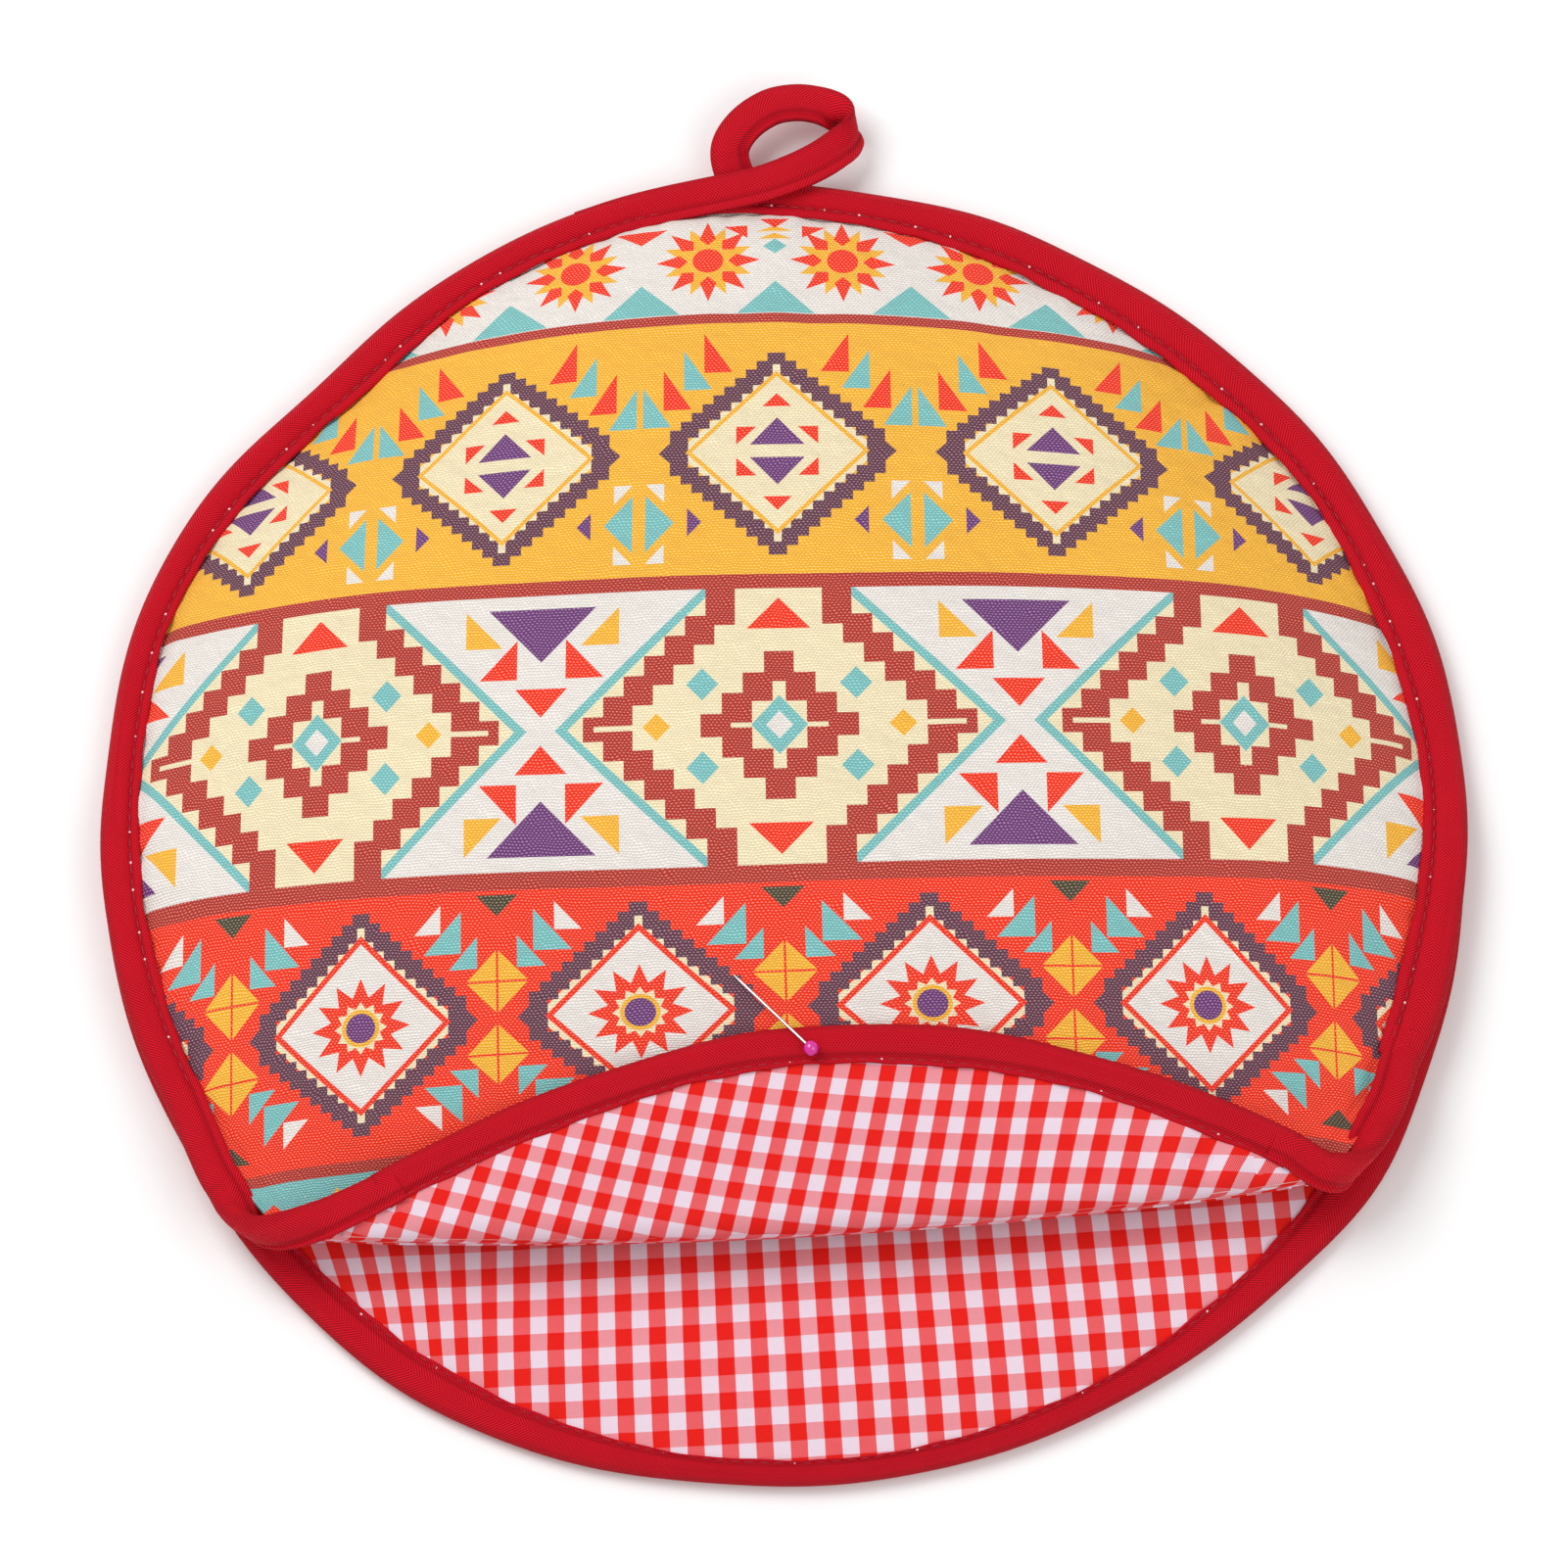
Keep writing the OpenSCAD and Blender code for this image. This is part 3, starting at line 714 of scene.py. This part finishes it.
def oxford(f, u, v, across=0.88, up=0.64):
    """A plain weave of heavy yarns: its relief from 0 to 1."""
    row = (v / up).op("FLOOR").op("MODULO", 2.0)
    warp = (u / across + row * 0.5).wave(1)
    weft = v.wave(up)
    return (warp * 0.5 + 0.5) * 0.45 + (weft * 0.5 + 0.5) * 0.55


def printed_cloth():
    """The outer cloth: the print on a plain weave, whose raised yarns are paler."""
    f = Finish("printed_cloth", roughness=0.85, specular=0.12)
    u, v, _ = f.field("cloth")
    soft = f.noise(u, v, 0.5, 1.0) - 0.5
    base = band_print(f, u + soft * 0.1, v + soft * 0.1)
    drift = (f.noise(u, v, 5.0) - 0.5) * 1.6
    weave = oxford(f, u + drift, v + drift)
    speck = (weave - 0.62).op("MAXIMUM", 0.0) * 1.3
    base = f.paint(base, speck * 0.7, colour("#FFE9E4"))
    uneven = f.noise(u, v, 35) * 0.10 + 0.95
    # painted shade and highlight: the weave's low parts darker and its raised yarns lighter
    base = f.shade(base, (weave * 0.42 + 0.78) * uneven)
    return f.finish(base, weave + f.noise(u, v, 0.9) * 0.5, 0.26)


SQUARE = 3.67  # side of the gingham's checks


def gingham_cloth():
    """The lining: red and white yarns by turns both ways, with the warp's red the stronger."""
    f = Finish("gingham_lining", roughness=0.8, specular=0.12)
    u, v, _ = f.field("cloth")
    waver = f.noise(u, v, 6.0) - 0.5
    warp_red = ((u + waver * 0.25) / (2 * SQUARE)).op("FRACT") < 0.5
    weft_red = ((v + waver * 0.2) / (2 * SQUARE)).op("FRACT") < 0.5
    twill = (u + v).wave(0.46) * 0.2
    red = warp_red * (twill + 0.86) + weft_red * (twill + 0.58)
    base = f.paint(colour("#F1DCEA"), red, colour("#EE2019"))
    yarn = (u.wave(0.31) * 0.5 + v.wave(0.36) * 0.5) * 0.5 + 0.5
    # painted shade: the hollows between the yarns darker
    base = f.shade(base, yarn * 0.14 + 0.88)
    return f.finish(base, yarn, 0.07)


def binding_tape():
    """Herringbone twill: ribs that lean one way on the outer part and the other on the inner."""
    f = Finish("binding_tape", roughness=0.7, specular=0.15)
    along, across, inset = f.field("tape")
    lean = abs(across - 5.4) * 0.9
    ribs = (along + lean).wave(0.72) * 0.5 + 0.5
    yarn = across.wave(0.5) * 0.5 + 0.5
    height = ribs * 0.75 + yarn * 0.25
    # painted highlight and shade: the ribs' crests lighter and the grooves between them darker
    base = f.paint(colour("#86000C"), height, colour("#FC122E"))
    uneven = f.noise(along, across, 9.0) * 0.16 + 0.92
    # painted shade: darker in the stitched groove between rib and bead, and towards the tape's rounded
    # outer edge
    groove_shade = 1 - (abs(inset - (RIB_W + 0.3)) / 0.7).op("MINIMUM", 1.0)
    outer = 1 - (inset / 1.6).op("MINIMUM", 1.0)
    base = f.shade(base, uneven * (1 - groove_shade * 0.3) * (1 - outer * 0.22))
    return f.finish(base, height, 0.24)


def plain(name, hexa, roughness, size, relief, **looks):
    """A cloth or thread of one dye, with fibres that many millimetres apart."""
    f = Finish(name, roughness, 0.4, **looks)
    x, y, _ = f.split(f.node("TexCoord", {})["Object"])
    fibres = f.noise(x / MM, y / MM, size, 3.0)
    base = f.shade(colour(hexa), fibres * 0.3 + 0.85)
    return f.finish(base, fibres, relief)


PRINT = printed_cloth()
GINGHAM = gingham_cloth()
TAPE = binding_tape()
WADDING = plain("wadding", "#EFEBE2", 0.95, 0.7, 0.3, Sheen_Weight=0.3)
THREAD = plain("sewing_thread", "#A80C20", 0.6, 0.12, 0.03)
FLECK = plain("thread_ends", "#F6D9DA", 0.6, 0.12, 0.03)


def dress(obj, material):
    obj.data.materials.clear()
    obj.data.materials.append(material)
    return obj


# ---------- binding tape ----------


def tape_face(half, seam):
    """Half of the tape's outline, from its inner edge over a bead, a groove of stitches and a rib
    to its outer edge: [in from the outer edge, height]."""
    top = half + TAPE_T
    bead = (BINDING_W - seam) / 2.45
    return [
        (BINDING_W, half - 0.1), (BINDING_W + 0.02, half + 0.35), (BINDING_W - 0.3 * bead, top - 0.08),
        (BINDING_W - 0.9 * bead, top + 0.06), (BINDING_W - 1.6 * bead, top - 0.02),
        (seam + 0.4 * bead, half + 0.42), (seam + 0.02, half + 0.28), (seam - 0.35, half + 0.55),
        (seam - 0.9, top + 0.05), (seam - 1.9, top + 0.27), (seam - 3.1, top + RIB_PUFF),
        (2.2, top + 0.12), (1.3, top * 0.86), (0.6, top * 0.62), (0.15, top * 0.32), (0.0, 0.0),
    ]


def tape_section(half, seams):
    """The tape's whole outline, from the inner edge of its upper face to that of its lower one."""
    lower = tape_face(half, seams[1])[:-1]
    return np.array(tape_face(half, seams[0]) + [(t, -h) for t, h in reversed(lower)])


def unit(vectors):
    return vectors / np.linalg.norm(vectors, axis=-1, keepdims=True)


def lengths(line):
    """How far along a line of points each of them is."""
    steps = np.linalg.norm(np.diff(line, axis=0), axis=1)
    return np.concatenate([[0], np.cumsum(steps)])


WAVER = 60  # the tape's ripples are counted in 2 pi times this length
PRINT_UP, LINING_UP = (RIB_W, LINING_SEAM), (LINING_SEAM, RIB_W)  # seams on the upper, lower face


def sweep(name, centres, inward, up, halves, seams=PRINT_UP, places=(), waver_seed=None):
    """Tape along a line. centres are points on the line at the tape's middle, inward and up are
    unit vectors across it, halves is half of what it wraps, and seams is how far in its stitches
    are on its upper and lower face. The seed makes its edges and its fullness waver."""
    along = lengths(centres)
    rows, fields = [], []
    for centre, side, rise, half, at in zip(centres, inward, up, halves, along):
        section = tape_section(half, seams)
        width = lengths(section)
        t, h = section[:, 0].copy(), section[:, 1].copy()
        if waver_seed is not None:
            bead = np.clip((t - RIB_W) / (BINDING_W - RIB_W), 0, 1)
            t += 0.22 * ripple(at / WAVER, (7, 11, 17, 29), waver_seed) * bead
            h = h * (1 + 0.035 * ripple(at / WAVER, (5, 9, 13), waver_seed + 1))
            t -= 0.3 * (1 - bead) * ripple(at / WAVER, (3, 5, 8), waver_seed + 2) * (t < 3)
        rows.append(centre + np.outer(t - BINDING_W / 2, side) + np.outer(h, rise))
        from_middle = np.abs(width - width[len(width) // 2])
        fields.append(np.stack([np.full_like(width, at), from_middle, section[:, 0]], -1))
    points, fields = settled(np.array(rows), places).reshape(-1, 3), np.array(fields)
    n, m = fields.shape[:2]
    ends = [list(range(m))[::-1], [(n - 1) * m + j for j in range(m)]]
    return dress(mesh_object(name, points, grid_faces(n, m) + ends, tape=fields), TAPE)


def ring_line(angles, z, half):
    """Tape that lies flat round the pouch, as its centres, the ways in and up, and its halves."""
    x, y = np.cos(angles), np.sin(angles)
    centres = np.stack([TAPE_R * x, TAPE_R * y, z + 0 * angles], -1)
    up = np.tile([0.0, 0.0, 1.0], (len(angles), 1))
    return centres, np.stack([-x, -y, 0 * angles], -1), up, half + 0 * angles


def rim_line(angles):
    """The front panel's tape at these angles round the pouch, down to the lip's corners."""
    angles = np.asarray(angles)
    y = TAPE_R * np.sin(angles)
    opened = smooth((18 - y) / 28)
    rise = row_of(TAPE_R * np.cos(angles), y) ** 2
    z = mix(mix(RIM_Z, FLAP_Z, opened), CREASE_TAPE_Z, rise)
    return ring_line(angles, z, mix(DOUBLE_HALF, SINGLE_HALF, opened))


def lip_line(xs):
    """The lip's tape at these places along the crease. Its printed side is down."""
    xs = np.asarray(xs, float)
    w = lip_end(xs, BINDING_W / 2)
    centre = place_lip(np.stack([xs, w, np.full_like(xs, 2.8)], -1))
    away = unit(np.stack([xs - LIP_SHIFT, w + LIP_R - LIP_LENGTH, 0 * xs], -1))
    origin = place_lip(np.zeros(3))
    inward = place_lip(-away) - origin
    up = origin - place_lip(np.tile([0.0, 0.0, 1.0], (len(xs), 1)))
    return centre, inward, up, np.full(len(xs), SINGLE_HALF)


def smooth_line(knots, steps):
    """A Catmull-Rom curve through the knots."""
    k = np.array(knots, float)
    k = np.vstack([2 * k[0] - k[1], k, 2 * k[-1] - k[-2]])
    out = []
    for p0, p1, p2, p3 in zip(k[:-3], k[1:-2], k[2:-1], k[3:]):
        t = np.linspace(0, 1, steps, endpoint=False)[:, None]
        out.append(0.5 * (2 * p1 + (p2 - p0) * t + (2 * p0 - 5 * p1 + 4 * p2 - p3) * t**2
                          + (3 * p1 - p0 - 3 * p2 + p3) * t**3))
    return np.vstack(out + [k[-2:-1]])


def twisted_line(knots, side, half, steps=10):
    """Tape whose rib runs through knots, each a point and a roll in degrees. At roll 0 the tape
    lies flat to that side of the way it goes, 1 is right, and at 180 it has turned under to the
    other side."""
    line = smooth_line(knots, steps)
    rib, roll = line[:, :3], np.radians(line[:, 3:])
    way = unit(np.gradient(rib, axis=0))
    flat = unit(side * np.cross(way, [0, 0, 1.0]))
    rise = side * np.cross(flat, way)
    inward = flat * np.cos(roll) - rise * np.sin(roll)
    up = flat * np.sin(roll) + rise * np.cos(roll)
    return rib + inward * (BINDING_W / 2 - PIVOT), inward, up, np.full(len(rib), half)


def rib_of(line):
    """The middle of the rib of a line of tape."""
    centres, inward = line[:2]
    return centres - inward * (BINDING_W / 2 - PIVOT)


# the rib's way round the corners of the lip: its place in the photo, its height and its roll
LEFT_TURN = [
    (212, 1193, 12.6, 0), (225, 1216, 13.0, 0), (234, 1233, 13.8, 18), (243, 1245, 15.4, 55),
    (257, 1252, 17.0, 92), (275, 1252, 18.4, 116), (296, 1248, 19.6, 136), (320, 1241, 20.8, 155),
    (342, 1233, 21.6, 170),
]
RIGHT_TURN = [
    (1424, 1123, 12.6, 0), (1411, 1150, 13.2, 8), (1399, 1171, 14.6, 40), (1385, 1185, 16.4, 90),
    (1367, 1190, 18.4, 135), (1349, 1187, 20.0, 165),
]
LIP_FROM, LIP_TO = -94.0, 107.5  # the ends of the lip's own tape, along the crease


def turn_line(side, turn, rim_angles, lip_xs):
    """The tape's turn at a corner, from the flap's edge round and up to the lip's edge."""
    knots = [(*p, 0) for p in settled(rib_of(rim_line(rim_angles)), RIM_PLACES)]
    knots += [(*seen_at(px, py, z), roll) for px, py, z, roll in turn]
    knots += [(*p, 180) for p in rib_of(lip_line(lip_xs))]
    return twisted_line(knots, side, SINGLE_HALF, 8)


right_start, left_start = math.radians(-22.5), math.radians(-153.5)
right_turn = turn_line(1, RIGHT_TURN, [right_start + 0.05, right_start + 0.02], [LIP_TO, LIP_TO - 4])
left_turn = turn_line(-1, LEFT_TURN, [left_start - 0.03, left_start - 0.01], [LIP_FROM, LIP_FROM + 4])

front_line = rim_line(np.linspace(right_start, left_start + 2 * math.pi, 640))
lip_edge_line = lip_line(np.linspace(LIP_FROM, LIP_TO, 230))
front_binding = sweep("front_binding", *front_line, places=RIM_PLACES, waver_seed=41)
lip_binding = sweep("lip_edge_binding", *lip_edge_line, waver_seed=47)
left_corner = sweep("lip_corner_left", *left_turn)
right_corner = sweep("lip_corner_right", *right_turn)

mouth_angles = np.linspace(math.pi + 0.02, 2 * math.pi - 0.02, 330)
back_line = ring_line(mouth_angles, BACK_TAPE_Z, SINGLE_HALF)
back_binding = sweep("back_mouth_tape", *back_line, LINING_UP, MOUTH_PLACES, waver_seed=53)

# ---------- stitches ----------

BEAD = ((0, 0.45), (0.2, 0.95), (0.5, 1.1), (0.8, 0.95), (1, 0.45))  # place along it, fatness
BEAD_SIDES = 6


def beads(name, line, starts, length, radius, t, material, places=()):
    """Short bars of thread laid along a tape, that far in from its edge. Their ends sink in."""
    centres, inward, up, halves = line
    at = settled(centres + inward * (t - BINDING_W / 2) + up * (halves + 0.5)[:, None], places)
    along = lengths(at)
    ring = np.linspace(0, 2 * math.pi, BEAD_SIDES, endpoint=False)[:, None]
    points, faces = [], []
    for start in starts(along[-1]):
        first = len(points)
        for q, fat in BEAD:
            s = start + q * length
            c, w, h = (
                np.array([np.interp(s, along, a[:, k]) for k in range(3)]) for a in (at, inward, up)
            )
            sink = 0.16 * (2 * q - 1) ** 2
            points.extend(c + radius * fat * (w * np.cos(ring) + h * np.sin(ring)) - h * sink)
        faces += grid_faces(len(BEAD), BEAD_SIDES, round_cols=True, first=first)
        cap = list(range(first, first + BEAD_SIDES))
        faces += [cap[::-1], [k + (len(BEAD) - 1) * BEAD_SIDES for k in cap]]
    return dress(mesh_object(name, np.array(points), faces), material)


def even(pitch):
    """Stitches all along a tape, that far apart."""
    return lambda length: np.arange(1.0, length - 3, pitch)


def scattered(least, most, seed):
    """Places here and there along a tape, between those distances apart."""

    def starts(length):
        gaps = np.random.default_rng(seed).uniform(least, most, int(length / least))
        places = np.cumsum(gaps)
        return places[places < length - 2]

    return starts


STITCH = dict(length=2.5, radius=0.24, material=THREAD)
SPECK = dict(length=0.7, radius=0.24, material=FLECK)
print_side = dict(t=RIB_W + 0.3, places=RIM_PLACES)
front_sewing = [
    beads("front_stitches", front_line, even(3.2), **STITCH, **print_side),
    beads("front_thread_ends", front_line, scattered(4, 24, 81), **SPECK, **print_side),
]
lip_top = (*lip_edge_line[:2], -lip_edge_line[2], lip_edge_line[3])
lip_sewing = [
    beads("lip_stitches", lip_top, even(3.2), t=LINING_SEAM + 0.15, **STITCH),
    beads("lip_thread_ends", lip_top, scattered(12, 50, 82), t=LINING_SEAM + 0.2, **SPECK),
]
lining_side = dict(t=LINING_SEAM + 0.15, places=MOUTH_PLACES)
back_sewing = [
    beads("back_stitches", back_line, even(3.2), **STITCH, **lining_side),
    beads("back_thread_ends", back_line, scattered(8, 60, 83), **SPECK, **lining_side),
]

# ---------- cloth panels ----------

points, cloth = front_layer(0, 0)
puffed = stuffed(points)
points[..., 2] += puffed
front_print = cloth_grid("front_print", (points, cloth), PRINT, COVER_T, flip=True)
inner = front_layer(STACK - LINING_T, 2.1, 0.4)
front_gingham = cloth_grid("front_gingham", inner, GINGHAM, LINING_T, flip=True)
points, cloth = front_layer(COVER_T + LAYER_GAP + 0.1, 0.9, 0.9)
points[..., 2] += puffed
under, _ = front_layer(STACK - LINING_T - LAYER_GAP - 0.1, 1.9, 0.4)
front_wadding = pad("front_wadding_pad", points, under, cloth)

lip_gingham = cloth_grid("lip_gingham", lip_layer(STACK, 2.6), GINGHAM, LINING_T)
fold = cloth_grid("fold_gingham", fold_roll(), GINGHAM, FOLD_T)
points, cloth = lip_layer(0, 0, rounded=False)
hem = points[:1] * (1, 1, 0) + (0, 0, CREASE_Z - PRINT_GAP)  # this row lies at the flap's crease
outer = np.concatenate([hem, points]), np.concatenate([cloth[:1] + (0, 0.3), cloth])
lip_print = cloth_grid("lip_print", outer, PRINT, COVER_T, flip=True)
points, cloth = lip_layer(STACK - LINING_T - 0.2, 2.0)
under, _ = lip_layer(COVER_T + 0.2, 0.8)
lip_wadding = pad("lip_wadding_pad", points[::-1], under[::-1], cloth[::-1])


def back_layer(depth_in, depth_at_edge, puff, rings=70, spokes=360):
    """The back panel's surface that far over its outer face, ring by ring from the middle, and its
    flat-cloth places."""
    r = CUT_R * np.sin(np.linspace(0.004, math.pi / 2, rings))[:, None]
    a = np.linspace(0, 2 * math.pi, spokes, endpoint=False)
    x, y = r * np.cos(a), r * np.sin(a)
    inset = INNER_R - np.hypot(x, y)
    draw = np.clip(inset / DRAW_IN, 0, 1)
    z = BACK_EDGE_Z * (1 - draw) + mix(depth_at_edge, depth_in, draw)
    gathers = 0.6 * pucker(x, y) * (1 - smooth(-inset / 1.2))
    z = z + puff * (gathers + 0.35 * swell(x, y, 60, 61) * smooth(inset / 25))
    drawn = 0.5 * np.minimum(0, y + 88) * smooth((-58 - x) / 60)
    turned = (y + 110) * (0.06 + 0.0004 * x)
    cloth = np.stack([x + turned + drawn + 0.3, y - 0.06 * x - 0.0002 * x**2], -1)
    return settled(np.stack([x, y, z], -1), MOUTH_PLACES), cloth


BACK_PAD_T = 3.6
inner, outer = back_layer(STACK, 2.6, 1), back_layer(0.02, 0, 0)
back_gingham = cloth_grid("back_gingham", inner, GINGHAM, LINING_T, flip=True, round_cols=True)
back_print = cloth_grid("back_print", outer, PRINT, COVER_T, round_cols=True)
inner = back_layer(STACK - LINING_T - 0.2, 2.0, 0.3)
back_wadding = cloth_grid("back_wadding_pad", inner, WADDING, BACK_PAD_T, flip=True, round_cols=True)

# ---------- hanging loop ----------

# the rib's way round the loop, from where it leaves the rim: as for the corners above
LOOP_WAY = [
    (752, 187.5, 8.8, 0), (782, 180, 9.8, 0),
    (820, 165, 10.2, 6), (848, 149, 10.2, 14), (866, 133, 9.8, 50), (867, 118, 9.4, 110),
    (855, 108, 9.2, 160), (838, 101.5, 9.0, 178), (815, 98.5, 9.0, 180), (791, 101.5, 9.0, 180),
    (773, 109.5, 8.9, 180), (757, 121.5, 8.7, 180), (744.5, 137, 8.3, 180), (739, 152, 7.6, 180),
    (740, 168, 6.6, 180), (746, 184, 5.8, 180), (756, 198, 5.2, 180),
]
LOOP_HALF = 0.3
loop_root = settled(rib_of(rim_line(np.radians([108, 104, 100]))), RIM_PLACES)
loop_knots = [(x, y, z, 0) for (x, y, _), z in zip(loop_root, (6.0, 6.2, 6.8))]
loop_knots += [(*seen_at(px, py, z), roll) for px, py, z, roll in LOOP_WAY]
loop = sweep("hanging_loop_tape", *twisted_line(loop_knots, 1, LOOP_HALF))

# ---------- the pin keeps its CAD shape ----------

steel = Finish("pin_steel", 0.22, 0.5, Metallic=1.0, Base_Color=colour("#D8D8DC"))
pearl = Finish("pin_pearl", 0.16, 0.6, Coat_Weight=0.8, Base_Color=colour("#D81C9C"))
for name, finish in (("pin_shank", steel), ("pin_head", pearl)):
    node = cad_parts[name]
    node.data.materials.clear()
    node.data.materials.append(finish.material)

# ---------- bodies, hidden CAD parts and the stage ------

for piece in (front_print, front_gingham, front_wadding, front_binding, *front_sewing):
    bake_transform(piece)
for piece in (lip_gingham, lip_wadding, lip_binding, *lip_sewing):
    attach(piece, "lip")
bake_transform(lip_print)
for piece in (left_corner, right_corner):
    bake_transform(piece)
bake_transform(fold)
for piece in (back_gingham, back_print, back_wadding, back_binding, *back_sewing):
    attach(piece, "pouch")
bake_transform(loop)

for piece, *nodes in (
    (front_print, "front_cover", "flap_cover"),
    (front_gingham, "front_lining", "flap_lining"),
    (front_wadding, "front_wadding", "flap_wadding"),
    (front_binding, "rim_binding", "flap_binding_left", "flap_binding_right"),
    (lip_gingham, "lip_lining"),
    (lip_print, "lip_cover"),
    (lip_wadding, "lip_wadding"),
    (lip_binding, "lip_binding"),
    (back_gingham, "back_lining"),
    (back_print, "back_cover"),
    (back_wadding, "back_wadding"),
    (back_binding, "back_mouth_binding"),
    (loop, "loop_anchor", "hanging_loop"),
):
    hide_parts(*nodes)

# the flat cloths: rounds, and for the front a round that is cut off at the fold
cut_r, fold_d = CUT_R * MM, (CREASE_D + CREASE_BOW) * MM
front_area = cut_r**2 * (math.pi - math.acos(fold_d / cut_r))
front_area += fold_d * math.sqrt(cut_r**2 - fold_d**2)

FLOOR_SIZE, FLOOR_Z = 3.0, -0.0003
bpy.ops.mesh.primitive_plane_add(size=FLOOR_SIZE, location=(0, 0, FLOOR_Z))
floor = bpy.context.active_object
floor.name = "floor"
paper = Finish("floor_paper", 0.9, 0.1, Base_Color=(0.97, 0.97, 0.97, 1))
floor.data.materials.append(paper.material)

world = bpy.data.worlds.new("studio")
bpy.context.scene.world = world
world.use_nodes = True
sky = world.node_tree.nodes["Background"].inputs
sky["Color"].default_value = (1, 1, 1, 1)
sky["Strength"].default_value = 0.55
bpy.context.scene.view_settings.view_transform = "Standard"


def soft_light(name, place, size, power):
    lamp = bpy.data.lights.new(name, "AREA")
    obj = in_scene(name, adjust(lamp, shape="SQUARE", size=size, energy=power))
    obj.location = place
    obj.rotation_euler = (-Vector(place)).to_track_quat("-Z", "Y").to_euler()


soft_light("key_light", (-0.7, 0.5, 1.3), 0.9, 13)
soft_light("fill_light", (0.9, -0.6, 1.2), 1.2, 6.5)

camera = bpy.data.cameras.new("camera")
camera.sensor_width = 36
camera.lens = PHOTO_SCALE * CAMERA_AWAY * camera.sensor_width / PHOTO_SIDE
camera.shift_x = (PHOTO_SIDE / 2 - PHOTO_CENTRE[0]) / PHOTO_SIDE
camera.shift_y = (PHOTO_CENTRE[1] - PHOTO_SIDE / 2) / PHOTO_SIDE
camera_obj = in_scene("camera", camera)
camera_obj.location = (TARGET - VIEW * CAMERA_AWAY) * MM
camera_obj.rotation_euler = Vector(VIEW).to_track_quat("-Z", "Y").to_euler()
bpy.context.scene.camera = camera_obj
